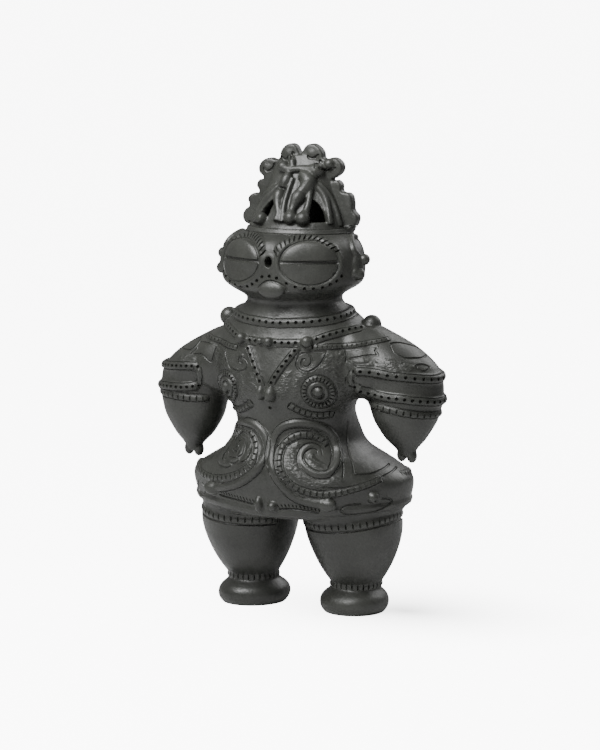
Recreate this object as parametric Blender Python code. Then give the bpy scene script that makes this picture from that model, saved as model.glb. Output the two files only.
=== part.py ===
"""Goggle-eyed clay figurine, standing on its own two feet: one fired clay piece.

Metres, +Z up. The figure faces -Y and its left hand is at +X. The origin is on the ground between its feet.
Pose, profile and carving are laid out in the carver's unit, one 240th of the figure's height, so that they
keep their proportions. Walls, holes and grooves that the carver's tool sets have sizes of their own.
"""

import math

import bmesh
import bpy
from mathutils import Matrix, Vector
from mathutils.bvhtree import BVHTree

FIGURE_HEIGHT = 0.240
CROWN_WALL = 0.0032
NOSTRIL_WIDTH = 0.0036
NOSTRIL_HEIGHT = 0.0052
NOSTRIL_DEPTH = 0.0065
GROOVE_WIDTH = 0.0016
GROOVE_DEPTH = 0.0013
EYE_SLIT = 0.0013

UNIT = FIGURE_HEIGHT / 240
CLAY_GRAIN = 0.00085
FINE_GRAIN = 0.0007
CUTTER_GRAIN = 0.0006
BODY_GRAIN = 0.0014
SMOOTHING = 0.5
BODY_PASSES = 9
CLAY_PASSES = 2
SURFACE_TRIANGLES = 9700
RING_SIDES = 48
BAND_SIDES = 10
CLAY_COLOUR = (0.045, 0.046, 0.044, 1.0)
CLAY_ROUGHNESS = 0.5

# Torso, neck and head: height, half width, front and back, from the skirt's underside to the crown's floor.
TRUNK = (
    (51.5, 47.0, 34.0, 37.0),
    (53.0, 52.5, 38.0, 41.5),
    (56.5, 56.6, 40.4, 44.5),
    (62.8, 58.7, 41.6, 46.0),
    (69.0, 59.8, 42.6, 45.5),
    (72.2, 58.4, 43.0, 44.5),
    (75.4, 54.2, 42.6, 43.0),
    (78.5, 48.9, 42.2, 41.0),
    (81.6, 43.4, 41.0, 38.0),
    (84.8, 37.8, 39.2, 34.5),
    (87.9, 34.6, 37.2, 32.5),
    (91.0, 32.8, 36.0, 31.0),
    (97.3, 31.5, 35.2, 27.0),
    (103.5, 31.8, 35.8, 20.5),
    (107.0, 33.0, 36.6, 16.6),
    (111.0, 35.0, 38.0, 15.0),
    (117.0, 38.5, 39.5, 15.5),
    (125.0, 41.0, 39.3, 18.0),
    (133.0, 42.0, 37.8, 21.0),
    (140.0, 41.5, 36.3, 23.0),
    (146.0, 39.0, 34.3, 23.5),
    (151.0, 35.0, 32.8, 22.0),
    (155.0, 31.0, 31.6, 18.4),
    (158.5, 26.4, 30.8, 15.2),
    (162.5, 24.0, 30.6, 14.0),
    (166.0, 27.0, 36.0, 12.8),
    (169.0, 32.6, 38.6, 14.2),
    (172.1, 37.0, 38.6, 16.2),
    (176.0, 38.3, 38.4, 18.0),
    (181.5, 38.3, 38.3, 19.0),
    (187.5, 37.0, 37.8, 19.5),
    (191.0, 35.0, 36.5, 19.5),
    (194.0, 31.8, 33.5, 19.5),
    (196.3, 28.2, 27.5, 20.5),
    (198.2, 26.0, 23.5, 20.5),
)

# The crown, a hollow shell, in the same four measures, with the flat wings and the scrolls at its edge.
CROWN = (
    (196.0, 25.5, 22.5, 20.5),
    (200.0, 25.0, 21.0, 19.5),
    (204.0, 24.0, 19.0, 17.6),
    (208.0, 22.6, 16.8, 15.4),
    (213.0, 20.6, 14.0, 12.6),
    (218.0, 18.6, 11.3, 10.0),
    (223.0, 17.0, 8.8, 7.4),
    (227.0, 15.4, 6.8, 5.4),
    (231.0, 11.8, 5.2, 3.8),
    (234.5, 6.5, 3.8, 2.8),
)
HOLLOW_TOP = 217.0
CROWN_BACKSET = 0.0
WING = (
    (197.0, 26.0, 3.4),
    (199.0, 29.0, 3.6),
    (203.0, 30.6, 3.6),
    (208.0, 28.6, 3.4),
    (212.0, 27.4, 3.2),
    (216.0, 23.6, 3.0),
    (220.0, 21.4, 2.9),
    (224.0, 20.0, 2.8),
    (229.0, 20.0, 2.7),
    (232.0, 14.0, 2.6),
    (235.0, 8.0, 2.4),
)
SCALLOPS = ((27.0, 203.7, 5.0), (23.8, 211.8, 5.2), (18.4, 219.5, 4.6))
SCROLLS = ((18.8, 228.8, 4.9), (6.4, 235.8, 4.8))
WINDOW_ANGLE = math.radians(49)
WINDOW_OUTLINE = ((-5.0, 201.2), (5.6, 201.2), (4.8, 206.4), (2.4, 210.8), (-1.6, 213.8), (-4.4, 211.6))

# One arm, hand first: height, how far out its middle is, half width and half depth.
ARM = (
    (80.5, 61.0, 3.8, 3.4),
    (83.5, 61.0, 4.7, 4.2),
    (86.0, 60.8, 6.6, 5.8),
    (89.3, 60.5, 10.0, 8.6),
    (92.4, 60.3, 12.1, 10.6),
    (95.5, 60.3, 14.1, 12.2),
    (98.6, 60.3, 15.9, 13.7),
    (101.7, 60.3, 17.2, 14.8),
    (105.0, 60.3, 18.0, 15.4),
    (109.0, 60.2, 19.2, 16.0),
    (115.0, 59.6, 20.2, 16.6),
    (121.0, 58.2, 20.9, 17.4),
    (126.0, 55.8, 21.5, 18.6),
    (129.0, 53.8, 20.8, 18.4),
    (132.0, 51.8, 19.6, 17.8),
    (135.0, 49.6, 18.0, 16.8),
    (138.0, 47.2, 15.8, 15.2),
    (141.0, 44.6, 13.0, 13.2),
    (144.0, 41.6, 10.0, 11.0),
    (147.0, 38.6, 7.0, 8.5),
)
ARM_BACKSET = 3.8
ARM_SWEEP = math.radians(18)
ARM_UNEVENNESS = 2.5
FINGERS = ((-2.9, 81.3, 2.3), (2.9, 81.0, 2.4))

# The shoulder's fillet between chest and arm, in the same measures as the arm.
SHOULDER = (
    (111.5, 37.5, 5.0, 9.5),
    (114.5, 39.5, 10.0, 15.5),
    (119.0, 41.5, 14.5, 19.6),
    (126.0, 42.0, 16.5, 21.4),
    (133.0, 41.0, 16.5, 21.2),
    (139.0, 38.5, 14.5, 19.4),
    (144.0, 35.0, 12.0, 17.0),
    (148.0, 31.5, 9.0, 14.0),
)

# One leg and its foot: height, half width, half depth and how far out and back its middle is.
FOOT = (
    (-2.0, 13.2, 14.6, 28.9, 2.2),
    (0.0, 15.8, 17.2, 28.9, 2.2),
    (2.0, 17.4, 19.2, 28.9, 2.2),
    (4.5, 18.1, 20.1, 28.9, 2.4),
    (7.5, 17.8, 19.7, 28.9, 2.6),
    (10.0, 16.0, 17.6, 29.0, 2.8),
    (12.0, 13.0, 14.0, 29.2, 3.0),
    (14.0, 11.6, 11.8, 29.3, 3.0),
)
LEG = (
    (11.5, 11.0, 11.2, 29.6, 3.0),
    (13.5, 11.9, 12.2, 29.6, 3.0),
    (16.0, 13.5, 14.0, 29.8, 2.8),
    (20.0, 16.1, 17.0, 29.9, 2.2),
    (26.0, 19.3, 20.7, 30.0, 1.6),
    (32.3, 21.8, 23.8, 30.0, 1.0),
    (38.6, 23.8, 26.2, 29.9, 0.4),
    (44.8, 24.9, 27.6, 29.7, -0.2),
    (51.0, 24.9, 28.0, 29.2, -0.6),
    (57.0, 23.0, 26.5, 28.6, -0.5),
)
TOES_OUT = math.radians(20)
LEG_HEM = ((-175.0, 47.2), (-90.0, 48.2), (0.0, 52.0), (90.0, 48.2), (175.0, 47.2))
ANKLE = 14.0

# Face.
EYE_CENTRE = (18.9, -30.9, 182.8)
EYE_TURN = math.radians(28.6)
EYE_HALF_WIDTH = 14.6
EYE_HALF_HEIGHT = 10.7
EYE_BULGE = 3.4
BROW = ((2.6, 188.0), (4.6, 192.2), (8.6, 195.0), (14.0, 196.3), (20.5, 196.0), (26.5, 193.6), (31.5, 189.4))
EYE_RIM_SPREAD = 1.8
MOUTH = (0.0, 169.6)
MOUTH_SIZE = (4.2, 1.9, 3.0)
NOSTRIL_AT = 183.0
EAR = (36.6, -12.4, 179.6)
EAR_SIZE = (3.4, 5.6, 7.4)
EAR_KNOBS = ((40.4, -10.3, 183.4, 2.4), (39.8, -14.3, 175.9, 2.5))

# Trimmings, as paths of sideways place and height on the front of the body.
NECKLACE = ((0.0, 142.2), (9.5, 142.4), (18.0, 142.9), (24.5, 144.9), (31.0, 147.2), (35.0, 147.9), (37.0, 147.9))
NECKLACE_KNOBS = ((18.0, 142.9, 2.7),)
PENDANT_KNOTS = ((-2.7, 116.6, 2.6), (2.7, 116.0, 2.6))
PENDANT = ((15.2, 141.2), (10.4, 134.2), (5.6, 125.6), (2.4, 117.4))
SHOULDER_BEAD = (40.8, -2.6, 150.4, 4.6)
ROSETTE = (26.4, 117.4)
ROSETTE_RINGS = ((7.9, (1.3, 1.2)), (4.5, (1.0, 1.3)))
ROSETTE_BUTTON = 2.6
BREAST_HEM = ((10.5, 111.0), (16.5, 107.2), (22.5, 105.4), (28.5, 105.6))
LEFT_COIL = (
    (30.3, 61.2), (21.8, 62.2), (14.4, 65.4), (8.6, 71.4), (4.2, 78.2), (2.6, 85.0), (3.4, 92.6),
    (6.6, 98.2), (11.6, 100.9), (17.8, 101.2), (24.4, 98.4), (29.6, 92.4), (33.2, 84.6), (33.6, 79.2),
    (29.8, 76.4), (23.6, 78.6), (18.6, 82.6), (17.8, 86.6), (20.4, 88.4), (23.6, 86.6),
)
RIGHT_COIL = (
    (-33.9, 64.9), (-25.7, 66.4), (-15.6, 69.8), (-7.6, 75.2), (-3.6, 80.4), (-2.5, 86.2), (-3.6, 92.8),
    (-7.4, 98.0), (-12.4, 100.9), (-18.6, 101.4), (-25.0, 98.4), (-30.0, 92.2), (-32.6, 85.0),
    (-30.4, 79.6), (-24.4, 78.6), (-18.8, 82.0), (-17.6, 86.6), (-20.4, 88.6), (-23.6, 86.4),
)
LEFT_COIL_HEM = (
    (28.4, 88.6), (24.4, 93.4), (18.6, 95.8), (12.2, 93.4), (8.2, 85.0), (11.0, 76.8), (16.4, 71.2),
    (24.6, 67.4), (32.0, 66.2), (40.2, 67.0), (48.4, 69.8), (54.6, 72.2),
)
RIGHT_COIL_HEM = (
    (-27.0, 90.4), (-22.6, 95.0), (-17.0, 95.6), (-11.0, 92.4), (-8.0, 86.4), (-9.6, 79.6), (-16.1, 74.8),
    (-24.2, 71.7), (-33.3, 70.3), (-41.4, 71.0), (-49.0, 73.4), (-53.8, 74.6),
)
COIL_KNOBS = ((30.5, 61.0, 3.4), (-34.2, 64.6, 3.4))
BACK_HEM_HEIGHT = 74.0
BACK_HEM_SAG = 4.0
SKIRT_CORD_HEIGHT = 57.6
SKIRT_CORD_RISE = 3.6
SKIRT_KNOBS = ((-4.0, 59.6, 2.8), (3.8, 58.8, 2.8))
SLEEVE_TOP = 124.8
SLEEVE_FOOT = 112.8
SLEEVE_RISE = 2.6
SLEEVE_END = math.radians(122)
CUFF = 107.6
COLLAR_FORWARD = 6.0
COLLAR_ROWS = ((-90.0, 151.8), (-45.0, 153.2), (0.0, 156.4), (45.0, 157.4), (90.0, 158.0))

# Half width and rise of each kind of raised band.
EYE_RIM_BAND = (1.3, 0.9)
BROW_BAND = (2.0, 1.6)
STRAND_BAND = (1.9, 1.9)
COLLAR_BAND = (2.1, 1.5)
NECKLACE_BAND = (1.7, 1.3)
PENDANT_BAND = (1.8, 1.3)
HEM_BAND = (1.4, 1.0)
SLEEVE_BAND = (1.8, 1.5)
SLEEVE_END_BAND = (1.8, 1.4)
CUFF_BAND = (1.6, 1.1)
COIL_BAND = (2.1, 1.8)
SKIRT_CORD_BAND = (1.9, 1.6)
LEG_HEM_BAND = (1.8, 1.1)
ANKLE_BAND = (1.5, 1.0)

# Knobs and strands on the crown's front.
CROWN_KNOBS = (
    (-9.4, 227.0, 3.4), (9.4, 227.0, 3.6), (4.6, 221.6, 3.8), (-5.2, 222.0, 3.4), (2.6, 213.4, 3.4),
    (-8.0, 213.8, 3.0), (0.2, 204.0, 3.4), (6.2, 203.8, 3.2), (-12.8, 203.4, 2.9),
)
CROWN_STRANDS = (
    ((-9.4, 227.0), (-5.0, 228.4), (0.0, 228.8), (5.0, 228.4), (9.4, 227.0)),
    ((4.6, 221.6), (4.0, 217.0), (2.6, 213.4), (1.0, 208.6), (0.6, 204.0)),
    ((-5.2, 222.0), (-7.0, 218.0), (-8.0, 213.8), (-6.8, 207.4), (-4.8, 200.6)),
)
FAR_OUT = 0.4


def as_object(clay, name):
    mesh = bpy.data.meshes.new(name)
    clay.to_mesh(mesh)
    clay.free()
    shape = bpy.data.objects.new(name, mesh)
    bpy.context.scene.collection.objects.link(shape)
    return shape


def settle(shape, *modifiers):
    """Put modifiers on a shape and keep the outcome as its mesh."""
    for kind, settings in modifiers:
        modifier = shape.modifiers.new(kind, kind)
        for key, value in settings.items():
            setattr(modifier, key, value)
    shape.data = bpy.data.meshes.new_from_object(shape.evaluated_get(bpy.context.evaluated_depsgraph_get()))
    shape.modifiers.clear()


def carved(values):
    """A row of carver's units in metres."""
    return tuple(value * UNIT for value in values)


def smooth_rows(rows, steps):
    """The rows with more between them, on a Catmull-Rom curve through each column."""
    finer = []
    for i in range(len(rows) - 1):
        before, here = rows[max(i - 1, 0)], rows[i]
        ahead, after = rows[i + 1], rows[min(i + 2, len(rows) - 1)]
        for step in range(steps):
            t = step / steps
            finer.append(tuple(
                0.5 * (2 * b + (c - a) * t + (2 * a - 5 * b + 4 * c - d) * t**2
                       + (3 * b - a - 3 * c + d) * t**3)
                for a, b, c, d in zip(before, here, ahead, after)
            ))
    return finer + [rows[-1]]


def oval(centre, half_width, half_depth, turn=0.0):
    """Points of a level oval, anticlockwise seen from above."""
    spin = Matrix.Rotation(turn, 3, "Z")
    angles = (2 * math.pi * i / RING_SIDES for i in range(RING_SIDES))
    return [
        Vector(centre) + spin @ Vector((half_width * math.cos(a), half_depth * math.sin(a), 0))
        for a in angles
    ]


def add_loft(clay, rings):
    """A closed body through rings of equally many points."""
    rows = [[clay.verts.new(point) for point in ring] for ring in rings]
    for low, high in zip(rows, rows[1:]):
        for i in range(len(low)):
            j = (i + 1) % len(low)
            clay.faces.new((low[i], low[j], high[j], high[i]))
    clay.faces.new(reversed(rows[0]))
    clay.faces.new(rows[-1])


def add_knob(clay, centre, radius, squash=1.0):
    """A ball, flattened front to back by squash."""
    place = Matrix.Translation(centre) @ Matrix.Diagonal((1, squash, 1, 1))
    bmesh.ops.create_icosphere(clay, subdivisions=3, radius=radius, matrix=place)


def add_trunk(clay):
    rings = []
    for row in smooth_rows(TRUNK, 2):
        height, half_width, front, back = carved(row)
        rings.append(oval((0, (back - front) / 2, height), half_width, (back + front) / 2))
    add_loft(clay, rings)


def crown_rings(inset, top):
    """The crown's level ovals up to a height, drawn in by a wall."""
    rings = []
    for row in smooth_rows(CROWN, 2):
        height, half_width, front, back = carved(row)
        if height <= top:
            middle = (0, (back - front) / 2, height)
            rings.append(oval(middle, half_width - inset, (back + front) / 2 - inset))
    return rings


def add_crown(clay):
    add_loft(clay, crown_rings(0.0, FIGURE_HEIGHT))
    rings = []
    for row in smooth_rows(WING, 2):
        height, half_width, half_depth = carved(row)
        rings.append(oval((0, CROWN_BACKSET * UNIT, height), half_width, half_depth))
    add_loft(clay, rings)
    for side in (-1, 1):
        for out, height, radius in map(carved, SCALLOPS):
            add_knob(clay, (side * out, CROWN_BACKSET * UNIT, height), radius, 0.62)
        for out, height, radius in map(carved, SCROLLS):
            add_knob(clay, (side * out, CROWN_BACKSET * UNIT, height), radius, 0.85)


def arm_centre(height, out, side, lift=1.0):
    """A place on an arm's axis. side is 1 for the left arm and -1 for the right one, which hangs lower."""
    return Vector((side * out, -ARM_BACKSET * UNIT, height + side * lift * ARM_UNEVENNESS * UNIT))


def add_arm(clay, side):
    rings = []
    for row in smooth_rows(ARM, 2):
        height, out, half_width, half_depth = carved(row)
        rings.append(oval(arm_centre(height, out, side), half_width, half_depth, side * ARM_SWEEP))
    add_loft(clay, rings)
    rings = []
    for row in smooth_rows(SHOULDER, 2):
        height, out, half_width, half_depth = carved(row)
        rings.append(oval(arm_centre(height, out, side, 0.5), half_width, half_depth))
    add_loft(clay, rings)


def add_leg(clay, side):
    for rows, turn in ((FOOT, side * TOES_OUT), (LEG, 0.0)):
        rings = []
        for row in smooth_rows(rows, 2):
            height, half_width, half_depth, out, back = carved(row)
            rings.append(oval((side * out, back, height), half_width, half_depth, turn))
        add_loft(clay, rings)


def build_body():
    """The bare body, its limbs run softly into one another, with the crown and the feet on it."""
    limbs = bmesh.new()
    add_trunk(limbs)
    for side in (-1, 1):
        add_arm(limbs, side)
        add_leg(limbs, side)
    body = as_object(limbs, "body")
    settle(
        body,
        ("REMESH", {"mode": "VOXEL", "voxel_size": BODY_GRAIN}),
        ("SMOOTH", {"factor": SMOOTHING, "iterations": BODY_PASSES}),
    )
    clay = bmesh.new()
    clay.from_mesh(body.data)
    bpy.data.objects.remove(body, do_unlink=True)
    add_crown(clay)
    for side in (-1, 1):
        for along, height, radius in map(carved, FINGERS):
            add_knob(clay, arm_centre(height, ARM[0][1] * UNIT + along, side), radius)
    return clay


def from_front(skin, path, steps=6):
    """Where a path of sideways place and height falls on the skin seen from the front, with the normals."""
    spots = []
    for out, height in smooth_rows(path, steps):
        start = Vector((out * UNIT, -FAR_OUT, height * UNIT))
        spots.append(skin.ray_cast(start, Vector((0, 1, 0)))[:2])
    return spots


def from_around(skin, middle, rows, reach=FAR_OUT):
    """Where rows of angle and height fall on the skin, seen from all round a middle; 0 is +X, -90 the front."""
    spots = []
    for angle, height in rows:
        away = Vector((math.cos(angle), math.sin(angle), 0))
        start = Vector((middle[0], middle[1], height)) + away * reach
        spots.append(skin.ray_cast(start, -away)[:2])
    return spots


def mirrored(path):
    """A left half path carried on from the right side's end to the left side's."""
    return tuple((-out, height) for out, height in reversed(path[1:])) + path


def add_band(clay, spots, section, closed=False):
    """A band along spots of the skin, with a section of half width and rise in carver's units."""
    half_width, rise = carved(section)
    rings = []
    count = len(spots)
    for i, (point, normal) in enumerate(spots):
        before = spots[i - 1 if closed else max(i - 1, 0)][0]
        after = spots[(i + 1) % count if closed else min(i + 1, count - 1)][0]
        across = normal.cross(after - before).normalized()
        taper = 1.0 if closed or 0 < i < count - 1 else 0.4
        ring = []
        for k in range(BAND_SIDES):
            angle = 2 * math.pi * k / BAND_SIDES
            sideways = across * half_width * math.cos(angle)
            ring.append(point + (sideways + normal * rise * math.sin(angle)) * taper)
        rings.append(ring)
    if closed:
        rows = [[clay.verts.new(point) for point in ring] for ring in rings]
        for low, high in zip(rows, rows[1:] + rows[:1]):
            for i in range(BAND_SIDES):
                j = (i + 1) % BAND_SIDES
                clay.faces.new((low[i], low[j], high[j], high[i]))
    else:
        add_loft(clay, rings)


def eye_outline(skin, side, grow):
    """Spots round one eye, on the face."""
    turn = Matrix.Rotation(side * EYE_TURN, 3, "Z")
    centre = Vector((side * EYE_CENTRE[0], EYE_CENTRE[1], EYE_CENTRE[2])) * UNIT
    spots = []
    for i in range(RING_SIDES):
        angle = 2 * math.pi * i / RING_SIDES
        out = (EYE_HALF_WIDTH + grow) * UNIT * math.cos(angle)
        rise = (EYE_HALF_HEIGHT + grow) * UNIT * math.sin(angle)
        start = centre + turn @ Vector((out, -FAR_OUT, rise))
        spots.append(skin.ray_cast(start, turn @ Vector((0, 1, 0)))[:2])
    return spots


def add_face(clay, skin):
    for side in (-1, 1):
        turn = Matrix.Rotation(side * EYE_TURN, 4, "Z")
        centre = Vector((side * EYE_CENTRE[0], EYE_CENTRE[1], EYE_CENTRE[2])) * UNIT
        size = Matrix.Diagonal((EYE_HALF_WIDTH * UNIT, EYE_BULGE * UNIT, EYE_HALF_HEIGHT * UNIT, 1))
        place = Matrix.Translation(centre) @ turn @ size
        bmesh.ops.create_icosphere(clay, subdivisions=4, radius=1.0, matrix=place)
        add_band(clay, eye_outline(skin, side, EYE_RIM_SPREAD), EYE_RIM_BAND, closed=True)
        brow = from_front(skin, tuple((side * out, height) for out, height in BROW))
        add_band(clay, brow, BROW_BAND)
        place = Matrix.Translation((side * EAR[0] * UNIT, EAR[1] * UNIT, EAR[2] * UNIT))
        size = Matrix.Diagonal(carved(EAR_SIZE)).to_4x4()
        bmesh.ops.create_icosphere(clay, subdivisions=3, radius=1.0, matrix=place @ size)
        for out, forward, height, radius in map(carved, EAR_KNOBS):
            add_knob(clay, (side * out, forward, height), radius)
    mouth = from_front(skin, (MOUTH, MOUTH), 1)[0][0]
    place = Matrix.Translation(mouth) @ Matrix.Diagonal(carved(MOUTH_SIZE)).to_4x4()
    bmesh.ops.create_icosphere(clay, subdivisions=3, radius=1.0, matrix=place)


def add_crown_trim(clay, skin):
    for strand in CROWN_STRANDS:
        add_band(clay, from_front(skin, strand), STRAND_BAND)
    for out, height, radius in CROWN_KNOBS:
        spot = from_front(skin, ((out, height), (out, height)), 1)[0][0]
        add_knob(clay, spot, radius * UNIT)


def add_collar(clay, skin):
    rows = [(math.radians(angle), height * UNIT) for angle, height in smooth_rows(COLLAR_ROWS, 9)]
    rows += [(math.pi - angle, height) for angle, height in reversed(rows[1:-1])]
    add_band(clay, from_around(skin, (0, -COLLAR_FORWARD * UNIT), rows), COLLAR_BAND, closed=True)
    add_band(clay, from_front(skin, mirrored(NECKLACE)), NECKLACE_BAND)
    for side in (-1, 1):
        pendant = tuple((side * out, height) for out, height in PENDANT)
        add_band(clay, from_front(skin, pendant), PENDANT_BAND)
        out, forward, height, radius = carved(SHOULDER_BEAD)
        add_knob(clay, (side * out, forward, height), radius)
        for out, height, radius in NECKLACE_KNOBS:
            spot = from_front(skin, ((side * out, height), (side * out, height)), 1)[0][0]
            add_knob(clay, spot, radius * UNIT)
    for out, height, radius in PENDANT_KNOTS:
        spot = from_front(skin, ((out, height), (out, height)), 1)[0][0]
        add_knob(clay, spot, radius * UNIT)


def add_rosette(clay, skin, side):
    out, height = ROSETTE
    middle = from_front(skin, ((side * out, height), (side * out, height)), 1)[0][0]
    for radius, section in ROSETTE_RINGS:
        ring = []
        for i in range(RING_SIDES):
            angle = 2 * math.pi * i / RING_SIDES
            ring.append((side * out + radius * math.cos(angle), height + radius * math.sin(angle)))
        add_band(clay, from_front(skin, tuple(ring), 1), section, closed=True)
    add_knob(clay, middle, ROSETTE_BUTTON * UNIT, 0.8)
    hem = tuple((side * x, z) for x, z in BREAST_HEM)
    add_band(clay, from_front(skin, hem), HEM_BAND)


def sleeve_rows(height, side):
    """Angles and heights round a sleeve from its front end to its back end."""
    rows = []
    for i in range(RING_SIDES // 2 + 1):
        swing = SLEEVE_END * (4 * i / RING_SIDES - 1)
        level = height + side + SLEEVE_RISE * abs(swing) / SLEEVE_END
        rows.append((swing if side > 0 else math.pi - swing, level * UNIT))
    return rows


def add_sleeve(clay, skin, side):
    middle = (side * ARM[8][1] * UNIT, -ARM_BACKSET * UNIT)
    top = from_around(skin, middle, sleeve_rows(SLEEVE_TOP, side))
    foot = from_around(skin, middle, sleeve_rows(SLEEVE_FOOT, side))
    for spots in (top, foot):
        add_band(clay, spots, SLEEVE_BAND)
    for end in (0, -1):
        angle = sleeve_rows(SLEEVE_TOP, side)[end][0]
        high, low = top[end][0].z, foot[end][0].z
        rows = [(angle, high + (low - high) * i / 4) for i in range(5)]
        add_band(clay, from_around(skin, middle, rows), SLEEVE_END_BAND)
    rows = [(2 * math.pi * i / RING_SIDES, CUFF * UNIT) for i in range(RING_SIDES)]
    inward = [spot for spot in from_around(skin, middle, rows) if side * spot[0].x > 40 * UNIT]
    order = sorted(inward, key=lambda spot: math.atan2(spot[0].y - middle[1], side * (spot[0].x - middle[0])))
    add_band(clay, order, CUFF_BAND)


def add_skirt(clay, skin):
    for coil, hem in ((LEFT_COIL, LEFT_COIL_HEM), (RIGHT_COIL, RIGHT_COIL_HEM)):
        add_band(clay, from_front(skin, coil), COIL_BAND)
        add_band(clay, from_front(skin, hem), HEM_BAND)
    for out, height, radius in COIL_KNOBS + SKIRT_KNOBS:
        spot = from_front(skin, ((out, height), (out, height)), 1)[0][0]
        add_knob(clay, spot, radius * UNIT)
    rows = []
    for i in range(RING_SIDES // 2 + 1):
        angle = 2 * math.pi * i / RING_SIDES
        rows.append((angle, (BACK_HEM_HEIGHT - BACK_HEM_SAG * math.sin(angle)) * UNIT))
    add_band(clay, from_around(skin, (0, 0), rows), HEM_BAND)
    rows = []
    for i in range(RING_SIDES):
        angle = 2 * math.pi * i / RING_SIDES
        level = SKIRT_CORD_HEIGHT + SKIRT_CORD_RISE * abs(math.cos(angle))
        rows.append((angle, level * UNIT))
    add_band(clay, from_around(skin, (0, 0), rows), SKIRT_CORD_BAND, closed=True)


def add_leg_trim(clay, skin, side):
    middle = (side * LEG[7][3] * UNIT, LEG[7][4] * UNIT)
    rows = []
    for angle, height in smooth_rows(LEG_HEM, 8):
        turn = math.radians(angle)
        rows.append((turn if side > 0 else math.pi - turn, height * UNIT))
    hem = [spot for spot in from_around(skin, middle, rows) if side * spot[0].x > 4 * UNIT]
    add_band(clay, hem, LEG_HEM_BAND)
    middle = (side * LEG[1][3] * UNIT, LEG[1][4] * UNIT)
    rows = [(2 * math.pi * i / RING_SIDES, ANKLE * UNIT) for i in range(RING_SIDES)]
    spots = from_around(skin, middle, rows, LEG[1][3] * UNIT)
    add_band(clay, spots, ANKLE_BAND, closed=True)


def build_cutter(skin):
    """What the maker takes out: nostril, eye grooves and slits, the crown's hollow and its windows."""
    void = bmesh.new()
    nose = skin.ray_cast(Vector((0, -FAR_OUT, NOSTRIL_AT * UNIT)), Vector((0, 1, 0)))[0]
    size = Matrix.Diagonal((NOSTRIL_WIDTH / 2, NOSTRIL_HEIGHT / 2, 2 * NOSTRIL_DEPTH, 1))
    place = Matrix.Translation(nose) @ Matrix.Rotation(math.radians(90), 4, "X") @ size
    bmesh.ops.create_cone(
        void, cap_ends=True, segments=24, radius1=1, radius2=1, depth=1, matrix=place
    )
    for side in (-1, 1):
        groove = (GROOVE_WIDTH / 2 / UNIT, GROOVE_DEPTH / UNIT)
        add_band(void, eye_outline(skin, side, 0.2), groove, closed=True)
        turn = Matrix.Rotation(side * EYE_TURN, 4, "Z")
        centre = Vector((side * EYE_CENTRE[0], EYE_CENTRE[1], EYE_CENTRE[2])) * UNIT
        size = Matrix.Diagonal((EYE_HALF_WIDTH * UNIT * 1.9, EYE_BULGE * UNIT * 1.3, EYE_SLIT, 1))
        forward = Matrix.Translation((0, -EYE_BULGE * UNIT, 0))
        bmesh.ops.create_cube(void, size=1, matrix=Matrix.Translation(centre) @ turn @ forward @ size)
    add_loft(void, crown_rings(CROWN_WALL, HOLLOW_TOP * UNIT))
    for back in (-1, 1):
        for side in (-1, 1):
            away = Vector((side * math.cos(WINDOW_ANGLE), back * math.sin(WINDOW_ANGLE), 0))
            across = Vector((0, 0, 1)).cross(away) * -side * back
            rings = []
            for reach in (2 * UNIT, 40 * UNIT):
                ring = [away * reach + across * out * UNIT + Vector((0, 0, height * UNIT))
                        for out, height in WINDOW_OUTLINE]
                rings.append(ring)
            add_loft(void, rings)
    bmesh.ops.recalc_face_normals(void, faces=void.faces)
    return void


def stand_flat(clay):
    """Cut the soles off flat on the ground."""
    level = bmesh.ops.bisect_plane(
        clay, geom=clay.verts[:] + clay.edges[:] + clay.faces[:], plane_co=(0, 0, 0), plane_no=(0, 0, -1),
        clear_outer=True,
    )
    edges = [part for part in level["geom_cut"] if isinstance(part, bmesh.types.BMEdge)]
    bmesh.ops.holes_fill(clay, edges=edges)
    bmesh.ops.triangulate(clay, faces=[face for face in clay.faces if len(face.verts) > 3])


def centre_on_origin(clay):
    """The figure's box stands centred over the origin."""
    for axis in (0, 1):
        places = [vertex.co[axis] for vertex in clay.verts]
        middle = (min(places) + max(places)) / 2
        for vertex in clay.verts:
            vertex.co[axis] -= middle


def clay_material():
    material = bpy.data.materials.new("black_clay")
    material.use_nodes = True
    shader = material.node_tree.nodes["Principled BSDF"]
    shader.inputs["Base Color"].default_value = CLAY_COLOUR
    shader.inputs["Roughness"].default_value = CLAY_ROUGHNESS
    return material


def main():
    for old in list(bpy.data.objects):
        bpy.data.objects.remove(old, do_unlink=True)
    clay = build_body()
    skin = BVHTree.FromBMesh(clay)
    void = build_cutter(skin)
    add_face(clay, skin)
    add_crown_trim(clay, skin)
    add_collar(clay, skin)
    add_skirt(clay, skin)
    for side in (-1, 1):
        add_rosette(clay, skin, side)
        add_sleeve(clay, skin, side)
        add_leg_trim(clay, skin, side)
    bmesh.ops.recalc_face_normals(clay, faces=clay.faces)
    figure = as_object(clay, "dogu_figurine")
    cutter = as_object(void, "cutter")
    settle(cutter, ("REMESH", {"mode": "VOXEL", "voxel_size": CUTTER_GRAIN}))
    settle(
        figure,
        ("REMESH", {"mode": "VOXEL", "voxel_size": CLAY_GRAIN}),
        ("SMOOTH", {"factor": SMOOTHING, "iterations": CLAY_PASSES}),
        ("BOOLEAN", {"operation": "DIFFERENCE", "object": cutter, "solver": "EXACT"}),
        ("REMESH", {"mode": "VOXEL", "voxel_size": FINE_GRAIN}),
        ("TRIANGULATE", {}),
    )
    bpy.data.objects.remove(cutter, do_unlink=True)
    settle(figure, ("DECIMATE", {"ratio": SURFACE_TRIANGLES / len(figure.data.polygons)}))
    clay = bmesh.new()
    clay.from_mesh(figure.data)
    stand_flat(clay)
    centre_on_origin(clay)
    clay.to_mesh(figure.data)
    clay.free()
    figure.data.materials.append(clay_material())


main()
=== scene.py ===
import math

import bpy
from mathutils import Matrix, Vector
from mathutils.bvhtree import BVHTree
from mathutils.kdtree import KDTree


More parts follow.
